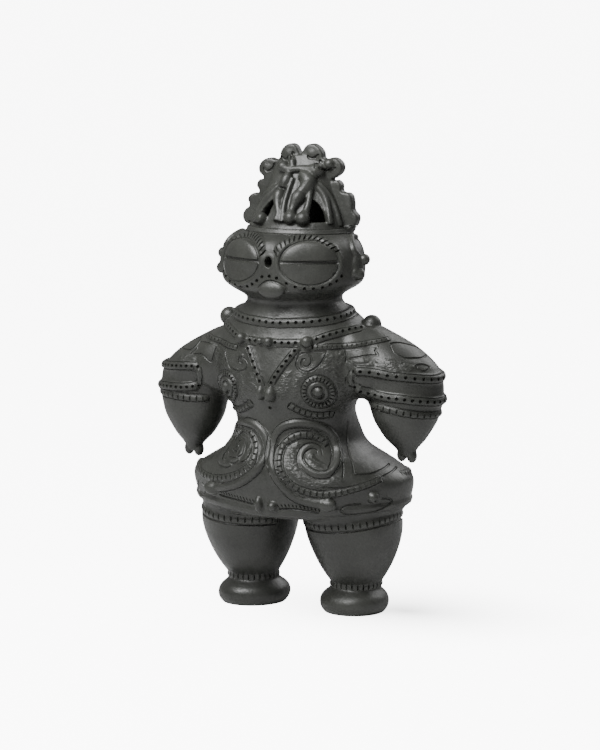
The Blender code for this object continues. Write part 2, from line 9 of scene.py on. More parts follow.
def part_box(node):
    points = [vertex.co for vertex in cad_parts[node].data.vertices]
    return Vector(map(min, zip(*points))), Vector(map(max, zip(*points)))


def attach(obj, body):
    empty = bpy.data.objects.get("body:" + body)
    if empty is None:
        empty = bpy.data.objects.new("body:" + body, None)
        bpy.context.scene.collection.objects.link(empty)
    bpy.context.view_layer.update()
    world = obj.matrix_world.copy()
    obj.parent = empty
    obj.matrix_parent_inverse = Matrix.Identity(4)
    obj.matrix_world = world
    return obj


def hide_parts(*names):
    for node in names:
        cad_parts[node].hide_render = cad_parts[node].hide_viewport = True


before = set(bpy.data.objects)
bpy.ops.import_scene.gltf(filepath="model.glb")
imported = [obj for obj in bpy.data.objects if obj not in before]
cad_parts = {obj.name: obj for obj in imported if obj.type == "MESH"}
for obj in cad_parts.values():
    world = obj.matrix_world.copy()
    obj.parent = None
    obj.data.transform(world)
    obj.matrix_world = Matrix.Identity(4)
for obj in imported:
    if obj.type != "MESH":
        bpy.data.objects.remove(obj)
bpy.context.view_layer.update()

# Trunk, neck and head.
# The real figure is one hollow body of fine black clay, fired as one piece. Its trunk is built up ring by
# ring, from the skirt's underside to the floor of the crown, and rubbed smooth before any trimming goes on.
MM = 0.001
RING_SIDES = 64
TRUNK_RINGS = (
    (51.5, 47.0, 34.0, 37.0), (53.0, 52.5, 38.0, 41.5), (56.5, 56.6, 40.4, 44.5), (62.8, 58.7, 41.6, 46.0),
    (69.0, 59.8, 42.6, 45.5), (72.2, 58.4, 43.0, 44.5), (75.4, 54.2, 42.6, 43.0), (78.5, 48.9, 42.2, 41.0),
    (81.6, 43.4, 41.0, 38.0), (84.8, 37.8, 39.2, 34.5), (87.9, 34.6, 37.2, 32.5), (91.0, 32.8, 36.0, 31.0),
    (97.3, 31.5, 35.2, 27.0), (103.5, 31.8, 35.8, 20.5), (107.0, 33.0, 36.6, 16.6),
    (111.0, 35.0, 38.0, 15.0), (117.0, 38.5, 39.5, 15.5), (125.0, 41.0, 39.3, 18.0),
    (133.0, 42.0, 37.8, 21.0), (140.0, 41.5, 36.3, 23.0), (146.0, 39.0, 34.3, 23.5),
    (151.0, 36.2, 32.8, 22.0), (155.0, 32.6, 31.6, 18.4), (158.5, 27.6, 30.8, 15.2),
    (162.5, 24.0, 30.6, 14.0), (166.0, 28.2, 36.0, 12.8), (169.0, 34.0, 38.6, 14.2),
    (172.1, 37.9, 38.6, 16.2), (176.0, 38.3, 38.4, 18.0), (181.5, 38.3, 38.3, 19.0),
    (187.5, 37.0, 37.8, 19.5), (191.0, 35.0, 36.5, 19.5), (194.0, 31.8, 33.5, 19.5),
    (196.3, 28.2, 27.5, 20.5), (198.2, 26.0, 23.5, 20.5),
)


def take_up(*pieces):
    """Only these pieces are in hand, the last of them active."""
    bpy.ops.object.select_all(action="DESELECT")
    for piece in pieces:
        piece.select_set(True)
    bpy.context.view_layer.objects.active = pieces[-1]


def work(piece, kind, **settings):
    """A modifier put on a piece and applied."""
    take_up(piece)
    bpy.ops.object.modifier_add(type=kind)
    modifier = piece.modifiers[-1]
    for key, value in settings.items():
        setattr(modifier, key, value)
    bpy.ops.object.modifier_apply(modifier=modifier.name)


def joined(name):
    """The pieces in hand as one, its place in its mesh."""
    bpy.ops.object.join()
    bpy.ops.object.transform_apply(location=True, rotation=True, scale=True)
    whole = bpy.context.object
    whole.name = name
    return whole


def evened(rows, steps):
    """The rows with more between them, on a smooth curve through each column of numbers."""
    finer = []
    for i in range(len(rows) - 1):
        before, here = rows[max(i - 1, 0)], rows[i]
        ahead, after = rows[i + 1], rows[min(i + 2, len(rows) - 1)]
        for step in range(steps):
            t = step / steps
            finer.append(tuple(
                0.5 * (2 * b + (c - a) * t + (2 * a - 5 * b + 4 * c - d) * t**2
                       + (3 * b - a - 3 * c + d) * t**3)
                for a, b, c, d in zip(before, here, ahead, after)
            ))
    return finer + [tuple(rows[-1])]


def build_up(name, rings, turn=0.0):
    """A closed wall drawn up ring by ring: middle's x and y, height, half width and half depth, in mm."""
    x, y, z, width, depth = (value * MM for value in rings[0])
    bpy.ops.object.select_all(action="DESELECT")
    bpy.ops.mesh.primitive_circle_add(
        vertices=RING_SIDES, radius=1.0, fill_type="NGON", location=(x, y, z), rotation=(0, 0, turn)
    )
    wall = bpy.context.object
    wall.name = name
    bpy.ops.object.mode_set(mode="EDIT")
    bpy.ops.transform.resize(value=(width, depth, 1), orient_type="LOCAL", center_override=(x, y, z))
    for ring in rings[1:]:
        old = (x, y, z, width, depth)
        x, y, z, width, depth = (value * MM for value in ring)
        step = (x - old[0], y - old[1], z - old[2])
        bpy.ops.mesh.extrude_region_move(TRANSFORM_OT_translate={"value": step})
        bpy.ops.transform.resize(
            value=(width / old[3], depth / old[4], 1), orient_type="LOCAL", center_override=(x, y, z)
        )
    bpy.ops.mesh.select_all(action="SELECT")
    bpy.ops.mesh.normals_make_consistent(inside=False)
    bpy.ops.object.mode_set(mode="OBJECT")
    return wall


trunk = build_up("trunk", [
    (0.0, (back - front) / 2, height, half_width, (back + front) / 2)
    for height, half_width, front, back in evened(TRUNK_RINGS, 2)
])

# Arms and shoulders.
# Each arm is a hollow bulb of the same clay that narrows to a small mitten, and its shoulder is a pad pressed
# onto the chest. The left arm was set a little higher than the right one.
ARM_RINGS = (
    (80.5, 61.0, 3.8, 3.4), (83.5, 61.0, 4.7, 4.2), (86.0, 60.8, 6.6, 5.8), (89.3, 60.5, 10.0, 8.6),
    (92.4, 60.3, 12.1, 10.6), (95.5, 60.3, 14.1, 12.2), (98.6, 60.3, 15.9, 13.7), (101.7, 60.3, 17.2, 14.8),
    (105.0, 60.3, 18.0, 15.4), (109.0, 60.2, 19.2, 16.0), (115.0, 59.6, 20.2, 16.6),
    (121.0, 58.2, 20.9, 17.4), (126.0, 55.8, 21.5, 18.6), (129.0, 53.8, 20.8, 18.4),
    (132.0, 51.8, 19.6, 17.8), (135.0, 49.6, 18.0, 16.8), (138.0, 47.2, 15.8, 15.2),
    (141.0, 44.6, 13.0, 13.2), (144.0, 41.6, 10.0, 11.0), (147.0, 38.6, 7.0, 8.5),
)
SHOULDER_RINGS = (
    (111.5, 37.5, 5.0, 9.5), (114.5, 39.5, 10.0, 15.5), (119.0, 41.5, 14.5, 19.6),
    (126.0, 42.0, 16.5, 21.4), (133.0, 41.0, 16.5, 21.2), (139.0, 38.5, 14.5, 19.4),
    (144.0, 35.0, 12.0, 17.0), (148.0, 31.5, 9.0, 14.0),
)
ARM_BACKSET = 3.8
ARM_SWEEP = math.radians(18)
ARM_UNEVENNESS = 2.5
SHOULDER_UNEVENNESS = 1.25

limbs = [trunk]
for side in (-1, 1):
    limbs.append(build_up("arm", [
        (side * out, -ARM_BACKSET, height + side * ARM_UNEVENNESS, half_width, half_depth)
        for height, out, half_width, half_depth in evened(ARM_RINGS, 2)
    ], side * ARM_SWEEP))
    limbs.append(build_up("shoulder", [
        (side * out, -ARM_BACKSET, height + side * SHOULDER_UNEVENNESS, half_width, half_depth)
        for height, out, half_width, half_depth in evened(SHOULDER_RINGS, 2)
    ]))

# Legs and feet.
# The legs are stout hollow bulbs drawn in at the ankle, each on a flat round foot with its toes turned out.
# The figure stands on these two feet alone.
FOOT_RINGS = (
    (-2.0, 13.2, 14.6, 28.9, 2.2), (0.0, 15.8, 17.2, 28.9, 2.2), (2.0, 17.4, 19.2, 28.9, 2.2),
    (4.5, 18.1, 20.1, 28.9, 2.4), (7.5, 17.8, 19.7, 28.9, 2.6), (10.0, 16.0, 17.6, 29.0, 2.8),
    (12.0, 13.0, 14.0, 29.2, 3.0), (14.0, 11.6, 11.8, 29.3, 3.0),
)
LEG_RINGS = (
    (11.5, 11.0, 11.2, 29.6, 3.0), (13.5, 11.9, 12.2, 29.6, 3.0), (16.0, 13.5, 14.0, 29.8, 2.8),
    (20.0, 16.1, 17.0, 29.9, 2.2), (26.0, 19.3, 20.7, 30.0, 1.6), (32.3, 21.8, 23.8, 30.0, 1.0),
    (38.6, 23.8, 26.2, 29.9, 0.4), (44.8, 24.9, 27.6, 29.7, -0.2), (51.0, 24.9, 28.0, 29.2, -0.6),
    (57.0, 23.0, 26.5, 28.6, -0.5),
)
TOES_OUT = math.radians(20)

for side in (-1, 1):
    for name, rings, turn in (("foot", FOOT_RINGS, side * TOES_OUT), ("leg", LEG_RINGS, 0.0)):
        limbs.append(build_up(name, [
            (side * out, back, height, half_width, half_depth)
            for height, half_width, half_depth, out, back in evened(rings, 2)
        ], turn))

# Joining the limbs.
# The maker works the limbs into the trunk with a wet thumb, so that each joint is a soft hollow and no seam
# shows. All trimming is laid on this skin.
THUMB = 1.4
RUBBING_PASSES = 9

take_up(*limbs)
body = joined("body")
work(body, "REMESH", mode="VOXEL", voxel_size=THUMB * MM)
work(body, "SMOOTH", factor=0.5, iterations=RUBBING_PASSES)
work(body, "SUBSURF", levels=1, render_levels=1)
laid_on = [body]

# Crown.
# The crown is a thin pierced shell of clay on a flat upright plate, whose edge is cut in scallops and curls
# over in four scrolls. It is open to the air through two windows in front and two behind.
CROWN_RINGS = (
    (196.0, 25.5, 22.5, 20.5), (200.0, 25.0, 21.0, 19.5), (204.0, 24.0, 19.0, 17.6),
    (208.0, 22.6, 16.8, 15.4), (213.0, 20.6, 14.0, 12.6), (218.0, 18.6, 11.3, 10.0),
    (223.0, 17.0, 8.8, 7.4), (227.0, 15.4, 6.8, 5.4), (231.0, 11.8, 5.2, 3.8), (234.5, 6.5, 3.8, 2.8),
)
CROWN_WALL = 3.2
HOLLOW_TOP = 217.0
WINDOW_ANGLE = math.radians(49)
WINDOW_START = 2.0
WINDOW_DEPTH = 38.0
WINDOW_OUTLINES = {
    1: ((-2.6, 201.6), (7.0, 201.6), (6.2, 206.4), (4.0, 210.6), (0.4, 213.8), (-2.0, 212.0)),
    -1: ((-2.4, 203.4), (5.8, 203.4), (4.6, 206.8), (2.4, 210.4), (-0.6, 212.8), (-2.0, 211.0)),
}
PLATE_EDGE = (
    (24.0, 196.0), (29.0, 197.8), (31.6, 200.8), (32.0, 204.5), (29.6, 207.4), (29.3, 211.5), (27.8, 215.6),
    (23.2, 216.9), (22.9, 220.0), (20.8, 222.3), (17.6, 222.4), (19.6, 223.6), (22.9, 226.4), (23.6, 229.2),
    (21.8, 232.4), (18.4, 233.8), (15.4, 233.2), (13.2, 233.2), (12.4, 236.2), (9.8, 239.2), (6.4, 240.5),
    (3.2, 239.4), (1.2, 236.6), (0.2, 235.0), (-0.9, 236.4), (-2.8, 239.4), (-5.6, 240.3), (-8.8, 239.0),
    (-11.2, 235.8), (-11.6, 233.2), (-13.8, 231.8), (-17.0, 232.6), (-20.8, 231.6), (-23.4, 228.6),
    (-23.4, 225.2), (-21.0, 222.0), (-23.4, 221.2), (-24.9, 218.4), (-23.6, 214.9), (-27.4, 214.0),
    (-29.9, 211.4), (-29.2, 207.7), (-31.6, 205.6), (-33.0, 202.2), (-31.6, 199.0), (-27.6, 197.4),
    (-24.0, 196.0),
)
PLATE_HALF = 1.9
PLATE_ROUNDING = 1.1
SCROLLS = ((18.6, 228.4, 4.6), (-18.4, 227.4, 4.6), (6.6, 235.4, 4.6), (-6.2, 235.2, 4.6))
SCROLL_FLATNESS = 0.8
SCROLL_PEARL = (16.9, -3.2, 230.6, 2.7)


def press_ball(name, spot, size, turn=(0, 0, 0)):
    """A ball of clay at a spot, of three half sizes in mm."""
    bpy.ops.object.select_all(action="DESELECT")
    bpy.ops.mesh.primitive_ico_sphere_add(
        subdivisions=4, radius=1.0, location=spot, rotation=turn, scale=[value * MM for value in size]
    )
    ball = bpy.context.object
    ball.name = name
    return ball


def draw_line(points, closed=False):
    """A smooth curve through points, still to be given its thickness."""
    bpy.ops.object.select_all(action="DESELECT")
    bpy.ops.curve.primitive_bezier_curve_add(enter_editmode=True)
    bpy.ops.curve.select_all(action="SELECT")
    bpy.ops.curve.delete(type="VERT")
    for point in points:
        bpy.ops.curve.vertex_add(location=point)
    bpy.ops.curve.select_all(action="SELECT")
    bpy.ops.curve.handle_type_set(type="AUTOMATIC")
    if closed:
        bpy.ops.curve.cyclic_toggle()
    bpy.ops.object.mode_set(mode="OBJECT")
    return bpy.context.object


def crown_wall(name, inset, top):
    """The crown's outer or inner form: the outer one has no inset."""
    return build_up(name, [
        (0.0, (back - front) / 2, height, half_width - inset, (back + front) / 2 - inset)
        for height, half_width, front, back in evened(CROWN_RINGS, 2) if height <= top
    ])


laid_on.append(crown_wall("crown", 0.0, CROWN_RINGS[-1][0]))
plate = draw_line([(out * MM, height * MM, 0) for out, height in PLATE_EDGE], closed=True)
plate.name = "crown_plate"
plate.data.dimensions = "2D"
plate.data.fill_mode = "BOTH"
plate.data.resolution_u = 6
plate.data.extrude = PLATE_HALF * MM
plate.data.bevel_depth = PLATE_ROUNDING * MM
plate.data.bevel_resolution = 3
plate.data.offset = -PLATE_ROUNDING * MM
plate.rotation_euler = (math.radians(90), 0, 0)
take_up(plate)
bpy.ops.object.convert(target="MESH")
plate = bpy.context.object
bpy.ops.object.mode_set(mode="EDIT")
bpy.ops.mesh.select_all(action="SELECT")
bpy.ops.mesh.remove_doubles(threshold=0.00001)
bpy.ops.mesh.normals_make_consistent(inside=False)
bpy.ops.object.mode_set(mode="OBJECT")
laid_on.append(plate)
for out, height, radius in SCROLLS:
    size = (radius, SCROLL_FLATNESS * radius, radius)
    laid_on.append(press_ball("scroll", (out * MM, 0, height * MM), size))
out, forward, height, radius = SCROLL_PEARL
laid_on.append(press_ball("scroll_pearl", (out * MM, forward * MM, height * MM), [radius] * 3))

crown_voids = [crown_wall("crown_hollow", CROWN_WALL, HOLLOW_TOP)]
for back in (-1, 1):
    for side in (-1, 1):
        bpy.ops.object.select_all(action="DESELECT")
        bpy.ops.mesh.primitive_circle_add(vertices=len(WINDOW_OUTLINES[side]), radius=1.0, fill_type="NGON")
        window = bpy.context.object
        window.name = "window"
        away = Vector((side * math.cos(WINDOW_ANGLE), back * math.sin(WINDOW_ANGLE), 0))
        across = Vector((0, 0, 1)).cross(away) * -side * back
        for vertex, (out, height) in zip(window.data.vertices, WINDOW_OUTLINES[side]):
            vertex.co = away * WINDOW_START * MM + across * out * MM + Vector((0, 0, height * MM))
        bpy.ops.object.mode_set(mode="EDIT")
        bpy.ops.mesh.select_all(action="SELECT")
        bpy.ops.mesh.extrude_region_move(TRANSFORM_OT_translate={"value": away * WINDOW_DEPTH * MM})
        bpy.ops.mesh.select_all(action="SELECT")
        bpy.ops.mesh.normals_make_consistent(inside=False)
        bpy.ops.object.mode_set(mode="OBJECT")
        crown_voids.append(window)

# Hands.
# Each arm ends in a mitten with two stubby fingers pinched out of the clay. They hang free beside the hips.
FINGERS = ((-2.8, 81.8, 2.6), (2.8, 81.5, 2.7))
FINGER_LENGTH = 1.4

for side in (-1, 1):
    for along, height, radius in FINGERS:
        spot = (
            (side * ARM_RINGS[0][1] + along) * MM, -ARM_BACKSET * MM, (height + side * ARM_UNEVENNESS) * MM,
        )
        laid_on.append(press_ball("finger", spot, (radius, radius, FINGER_LENGTH * radius)))

# Knot on the crown.
# Rolls and balls of clay are pressed onto the front of the crown in a loose knot, between two arched ribs.
# Each roll swells and narrows as the fingers left it.
KNOT = (
    ((-3.4, 225.6, 1.6), (-3.6, 223.6, 2.6), (-4.2, 221.0, 2.9), (-5.0, 218.0, 2.0)),
    ((-5.6, 217.0, 2.0), (-6.4, 214.2, 3.0), (-6.2, 210.9, 2.3), (-4.9, 207.6, 1.9), (-3.9, 204.9, 1.9),
     (-4.2, 201.6, 2.4)),
    ((3.0, 225.0, 2.4), (6.4, 223.4, 3.8), (8.0, 220.8, 4.2), (6.9, 217.8, 3.4), (5.2, 215.6, 3.0),
     (4.4, 213.2, 3.8), (3.6, 210.6, 2.8), (2.9, 207.6, 1.9), (2.7, 205.6, 2.8), (2.9, 203.4, 3.4)),
    ((9.9, 219.4, 1.8), (9.8, 215.7, 1.6), (10.2, 210.5, 1.6), (9.9, 206.8, 2.0), (9.0, 203.4, 3.5)),
    ((-0.5, 223.0, 1.0), (-1.6, 217.0, 1.3), (-2.1, 211.0, 1.3), (-1.6, 205.4, 1.4), (-0.8, 201.4, 1.8)),
    ((-19.4, 201.0, 1.8), (-17.4, 201.6, 2.2), (-14.6, 202.2, 3.3), (-12.6, 202.4, 2.8)),
    ((-8.2, 228.2, 3.1), (-5.6, 227.2, 2.2), (-1.7, 227.2, 1.8), (2.3, 227.6, 1.8), (6.2, 227.4, 2.2),
     (10.2, 227.0, 4.2), (11.6, 226.4, 3.8)),
    ((-4.2, 233.4, 1.6), (-2.6, 230.8, 1.8), (-2.1, 228.4, 1.4)),
)
RIBS = (
    ((9.0, 221.0, 1.6), (13.0, 218.6, 1.7), (16.7, 213.9, 1.8), (19.4, 207.3, 1.8), (21.3, 200.6, 1.8)),
    ((12.6, 221.6, 1.1), (17.8, 215.4, 1.3), (21.9, 207.4, 1.3), (24.4, 199.6, 1.3)),
    ((-7.0, 220.4, 1.6), (-12.8, 214.8, 1.7), (-17.6, 209.6, 1.8), (-21.0, 203.6, 1.8), (-22.4, 199.6, 1.6)),
    ((-10.8, 220.4, 1.0), (-17.4, 214.4, 1.2), (-22.4, 208.4, 1.2), (-25.2, 202.4, 1.2)),
)
KNOT_BALLS = (
    (8.0, 221.4, 4.2), (4.8, 214.2, 3.5), (3.0, 203.4, 3.4), (9.2, 203.2, 3.7), (-14.4, 202.4, 3.2),
    (-6.4, 213.8, 2.9), (-7.4, 228.2, 3.1), (10.9, 227.0, 3.9), (-3.8, 222.6, 2.7),
)
KNOT_LIFT = 0.9
BRIM_HEIGHT = 197.4
BRIM_ROLL = (3.4, 0.3)
ROLL_PITCH = 2.0
# At this thickness the swell of a roll is its radius in mm.
BY_RADIUS = 2.0
FULL_TURN = [360 * i / RING_SIDES for i in range(RING_SIDES)]
IN_FRONT = 400.0
KNIFE = 0.4


def form_of(*pieces):
    """What a ray meets of these pieces as they stand."""
    take_up(*pieces)
    bpy.ops.object.duplicate()
    form = joined("form")
    tree = BVHTree.FromObject(form, bpy.context.evaluated_depsgraph_get())
    bpy.data.objects.remove(form)
    return tree


skin = form_of(*laid_on)
take_up(*crown_voids)
knife = joined("knife")
work(knife, "REMESH", mode="VOXEL", voxel_size=KNIFE * MM)
for piece in laid_on[:3]:
    work(piece, "BOOLEAN", operation="DIFFERENCE", object=knife, solver="MANIFOLD")
bpy.data.objects.remove(knife)


def on_front(path, steps=8):
    """Spots of the skin, each with its normal, under a path of sideways place and height on the front."""
    spots = []
    for out, height in evened(path, steps):
        hit = skin.ray_cast(Vector((out, -IN_FRONT, height)) * MM, Vector((0, 1, 0)))
        if hit[0]:
            spots.append((hit[0], hit[1]))
    return spots


def front_spot(out, height):
    """The spot of the skin at a place on the front, and its normal."""
    return on_front(((out, height), (out, height)), 1)[0]


def all_round(middle, rows, reach=IN_FRONT):
    """Spots of the skin seen from all round a middle, by angle in degrees and height; -90 is the front."""
    spots = []
    for angle, height in rows:
        away = Vector((math.cos(math.radians(angle)), math.sin(math.radians(angle)), 0))
        start = Vector((middle[0], middle[1], height)) + away * reach
        hit = skin.ray_cast(start * MM, -away)
        spots.append((hit[0], hit[1]))
    return spots


def spaced(spots, pitch, closed=False):
    """Spots an even pitch apart, in mm, along the line through the given ones."""
    run = spots + spots[:1] if closed else spots
    lengths = [0.0]
    for (a, _), (b, _) in zip(run, run[1:]):
        lengths.append(lengths[-1] + (b - a).length)
    count = max(round(lengths[-1] / (pitch * MM)), 1)
    even = []
    i = 0
    for k in range(count if closed else count + 1):
        target = lengths[-1] * k / count
        while i < len(run) - 2 and lengths[i + 1] < target:
            i += 1
        share = (target - lengths[i]) / max(lengths[i + 1] - lengths[i], 1e-9)
        normal = run[i][1].lerp(run[i + 1][1], share).normalized()
        even.append((run[i][0].lerp(run[i + 1][0], share), normal))
    return even


def lay_roll(name, spots, thickness, sink=0.0, closed=False, swell=None):
    """A rolled string of clay along spots of the skin, pressed in by sink. Its ends narrow, or it swells."""
    roll = draw_line([spot - normal * sink * MM for spot, normal in spots], closed)
    roll.name = name
    roll.data.resolution_u = 2
    roll.data.bevel_depth = thickness / 2 * MM
    roll.data.bevel_resolution = 3
    roll.data.use_fill_caps = True
    points = roll.data.splines[0].bezier_points
    if swell:
        for point, share in zip(points, swell):
            point.radius = share
    elif not closed:
        points[0].radius = points[-1].radius = 0.5
    take_up(roll)
    bpy.ops.object.convert(target="MESH")
    return bpy.context.object


def lay_band(name, spots, roll, closed=False):
    """A roll laid along these spots and left there: its thickness and how deep it is pressed in, in mm."""
    laid_on.append(lay_roll(name, spaced(spots, ROLL_PITCH, closed), *roll, closed))


for name, strands in (("crown_knot", KNOT), ("crown_rib", RIBS)):
    for strand in strands:
        finer = evened(strand, 3)
        spots = on_front([(out, height) for out, height, _ in finer], 1)
        lift = KNOT_LIFT if name == "crown_knot" else 0.0
        laid_on.append(lay_roll(name, spots, BY_RADIUS, -lift, swell=[radius for _, _, radius in finer]))
for out, height, radius in KNOT_BALLS:
    spot, normal = front_spot(out, height)
    laid_on.append(press_ball("knot_ball", spot + normal * KNOT_LIFT * MM, [radius] * 3))
brim_rows = [(angle, BRIM_HEIGHT) for angle in FULL_TURN]
lay_band("brim", all_round((0, 0), brim_rows), BRIM_ROLL, True)

# Face.
# Two goggle eyes as low lenses of clay with a level slit, in a pricked rim under notched brows, a round
# nostril, a small mouth and an ear with two knobs at each side.
EYE_CENTRE = (18.9, -30.9, 182.8)
EYE_TURN = math.radians(28.6)
EYE_HALF_WIDTH = 14.6
EYE_HALF_HEIGHT = 10.7
EYE_BULGE = 3.4
EYE_RIM_SPREAD = 1.8
EYE_RIM_ROLL = (3.2, 0.8)
BROW = ((3.6, 187.4), (5.0, 191.0), (8.8, 194.3), (14.2, 195.5), (20.5, 195.1), (26.5, 192.7), (31.5, 188.9))
BROW_ROLL = (5.2, 1.5)
MOUTH = (1.3, 168.9)
MOUTH_SIZE = (7.2, 2.1, 4.3)
NOSTRIL = (-0.4, 183.0)
NOSTRIL_RIM = (2.7, 3.5)
NOSTRIL_ROLL = (1.2, 0.2)
EAR = (36.6, -12.4, 179.6)
EAR_SIZE = (3.4, 5.6, 7.4)
EAR_KNOBS = ((39.9, -10.3, 183.6, 3.0), (38.6, -14.0, 176.4, 3.2))
EAR_ROLLS = (
    ((-4.0, 193.4), (-12.0, 194.4), (-19.0, 192.4), (-22.0, 188.4), (-17.0, 184.6)),
    ((-22.0, 180.2), (-24.0, 176.8), (-18.0, 174.8)),
)
EAR_ROLL = (3.2, -0.4)


def mirrored(path, side):
    """A path on the figure's left front, or the same on its right."""
    return [(side * out, height) for out, height in path]


def turned(rows, side):
    """Rows of angle and height round the figure's left, or the same round its right."""
    return [(angle if side > 0 else 180 - angle, height) for angle, height in rows]


def eye_middle(side):
    return Vector((side * EYE_CENTRE[0], EYE_CENTRE[1], EYE_CENTRE[2]))


def round_eye(side, grow, low=0.0, high=360.0, count=RING_SIDES):
    """Spots of the face round one eye, from one angle to another. 0 is its outer corner and 90 its top."""
    turn = Matrix.Rotation(side * EYE_TURN, 3, "Z")
    spots = []
    for i in range(count):
        angle = math.radians(low + (high - low) * i / count)
        out = side * (EYE_HALF_WIDTH + grow) * math.cos(angle)
        rise = (EYE_HALF_HEIGHT + grow) * math.sin(angle)
        start = eye_middle(side) + turn @ Vector((out, -IN_FRONT, rise))
        hit = skin.ray_cast(start * MM, turn @ Vector((0, 1, 0)))
        spots.append((hit[0], hit[1]))
    return spots


def ellipse(middle, half_width, half_height):
    """A closed path of sideways place and height."""
    return [
        (middle[0] + half_width * math.cos(2 * math.pi * i / RING_SIDES),
         middle[1] + half_height * math.sin(2 * math.pi * i / RING_SIDES))
        for i in range(RING_SIDES)
    ]


for side in (-1, 1):
    size = (EYE_HALF_WIDTH, EYE_BULGE, EYE_HALF_HEIGHT)
    laid_on.append(press_ball("eye", eye_middle(side) * MM, size, (0, 0, side * EYE_TURN)))
    lay_band("eye_rim", round_eye(side, EYE_RIM_SPREAD), EYE_RIM_ROLL, True)
    lay_band("brow", on_front(mirrored(BROW, side)), BROW_ROLL)
    laid_on.append(press_ball("ear", (side * EAR[0] * MM, EAR[1] * MM, EAR[2] * MM), EAR_SIZE))
    for rows in EAR_ROLLS:
        laid_on.append(lay_roll("ear_roll", all_round((0, 0), turned(evened(rows, 4), side)), *EAR_ROLL))
    for out, forward, height, radius in EAR_KNOBS:
        laid_on.append(press_ball("ear_knob", (side * out * MM, forward * MM, height * MM), [radius] * 3))
laid_on.append(press_ball("mouth", front_spot(*MOUTH)[0], MOUTH_SIZE))
rim = on_front(ellipse(NOSTRIL, *NOSTRIL_RIM), 1)[:-1:4]
laid_on.append(lay_roll("nostril_rim", rim, *NOSTRIL_ROLL, True))

# Collar, necklace and pendant.
# Rolls of clay round the neck and over the breast, pressed flat and pricked all along with a pointed stick.
COLLAR_FORWARD = 6.0
COLLAR_ROWS = ((-90.0, 151.8), (-45.0, 153.2), (0.0, 156.4), (45.0, 157.4), (90.0, 158.0))
NECKLACE = (
    (0.0, 142.2), (9.5, 142.4), (18.0, 142.9), (22.6, 144.4), (26.1, 145.8), (30.7, 147.3), (33.9, 148.3),
    (36.5, 149.0), (38.3, 149.4), (39.5, 149.6),
)
NECKLACE_BEADS = ((18.3, 142.6, 3.1), (-17.8, 142.6, 3.0), (-1.2, 142.0, 2.5), (-5.8, 142.2, 1.8))
PENDANTS = {
    1: ((15.0, 140.8), (10.6, 135.0), (5.0, 127.0), (0.8, 119.6)),
    -1: ((-14.6, 140.8), (-10.4, 134.2), (-6.0, 126.0), (-3.0, 119.4)),
}
PENDANT_KNOTS = ((-4.2, 116.6, 2.2, 3.8), (1.4, 116.2, 3.2, 4.2))
PENDANT_KNOT_DEPTH = 0.6
SHOULDER_BEAD = (40.6, -2.6, 149.8, 5.0)
BEAD_LIFT = 1.3
# How far dots and grooves stay from each kind.
SHOULDER_CLEAR = 0.4
BEAD_CLEAR = 0.9
KNOT_CLEAR = 1.2
COLLAR_ROLL = (5.2, 1.2)
NECKLACE_ROLL = (4.6, 1.1)
PENDANT_ROLL = (4.4, 1.0)

beads = []


def both_sides(path):
    """A left half path carried on from the right side's end to the left side's."""
    return [(-out, height) for out, height in reversed(path[1:])] + list(path)


def press_bead(name, spot, size, clear):
    """A ball that stays whole: no dot or groove comes nearer to its middle than its half width and clear."""
    beads.append((spot, size[0] + clear))
    laid_on.append(press_ball(name, spot, size))


collar_rows = evened(COLLAR_ROWS, 9)
collar_rows += [(180.0 - angle, height) for angle, height in reversed(collar_rows[1:-1])]
collar = all_round((0, -COLLAR_FORWARD), collar_rows)
lay_band("collar", collar, COLLAR_ROLL, True)
lay_band("necklace", on_front(both_sides(NECKLACE)), NECKLACE_ROLL)
for side in (-1, 1):
    lay_band("pendant", on_front(PENDANTS[side]), PENDANT_ROLL)
    out, forward, height, radius = SHOULDER_BEAD
    press_bead("shoulder_bead", Vector((side * out, forward, height)) * MM, [radius] * 3, SHOULDER_CLEAR)
for out, height, radius in NECKLACE_BEADS:
    spot, normal = front_spot(out, height)
    press_bead("necklace_bead", spot + normal * BEAD_LIFT * MM, [radius] * 3, BEAD_CLEAR)
for out, height, half_width, half_height in PENDANT_KNOTS:
    size = (half_width, half_width + PENDANT_KNOT_DEPTH, half_height)
    press_bead("pendant_knot", front_spot(out, height)[0], size, KNOT_CLEAR)

# Shoulder bands.
# A thin string of clay runs from the necklace over each shoulder, pressed nearly flat and notched later on.
SHOULDER_BANDS = (
    ((21.3, 140.4), (28.2, 140.8), (36.6, 141.2), (45.6, 142.7), (51.9, 144.1), (53.8, 144.5)),
    ((-20.8, 138.0), (-27.0, 138.3), (-37.6, 139.9), (-47.3, 141.8)),
)
SHOULDER_ROLL = (3.2, 0.8)

for path in SHOULDER_BANDS:
    lay_band("shoulder_band", on_front(path), SHOULDER_ROLL)

# Breasts.
# A rosette on each breast: a notched ring round a plain one and a button, with a notched hem under it.
ROSETTES = {1: (24.9, 117.9, 0.82), -1: (-28.0, 117.2, 0.95)}
ROSETTE_RINGS = ((7.6, 3.0, 0.5), (4.5, 2.2, 0.0))
ROSETTE_RISE = 0.93
ROSETTE_PITCH = 1.5
BUTTON_SIZE = (2.7, 2.16, 2.7)
BREAST_HEM = ((10.5, 111.0), (13.4, 108.8), (17.8, 106.6), (22.5, 105.2), (28.5, 105.4))
BREAST_ROLL = (4.0, 1.0)


def round_rosette(side, radius):
    """Spots of one breast in a ring round its middle."""
    out, height, share = ROSETTES[side]
    return on_front(ellipse((out, height), share * radius, ROSETTE_RISE * radius), 1)[:-1]


for side in (-1, 1):
    for radius, thickness, sink in ROSETTE_RINGS:
        ring = spaced(round_rosette(side, radius), ROSETTE_PITCH, True)
        laid_on.append(lay_roll("rosette", ring, thickness, sink, True))
    laid_on.append(press_ball("button", front_spot(*ROSETTES[side][:2])[0], BUTTON_SIZE))
    lay_band("breast_hem", on_front(mirrored(BREAST_HEM, side)), BREAST_ROLL)

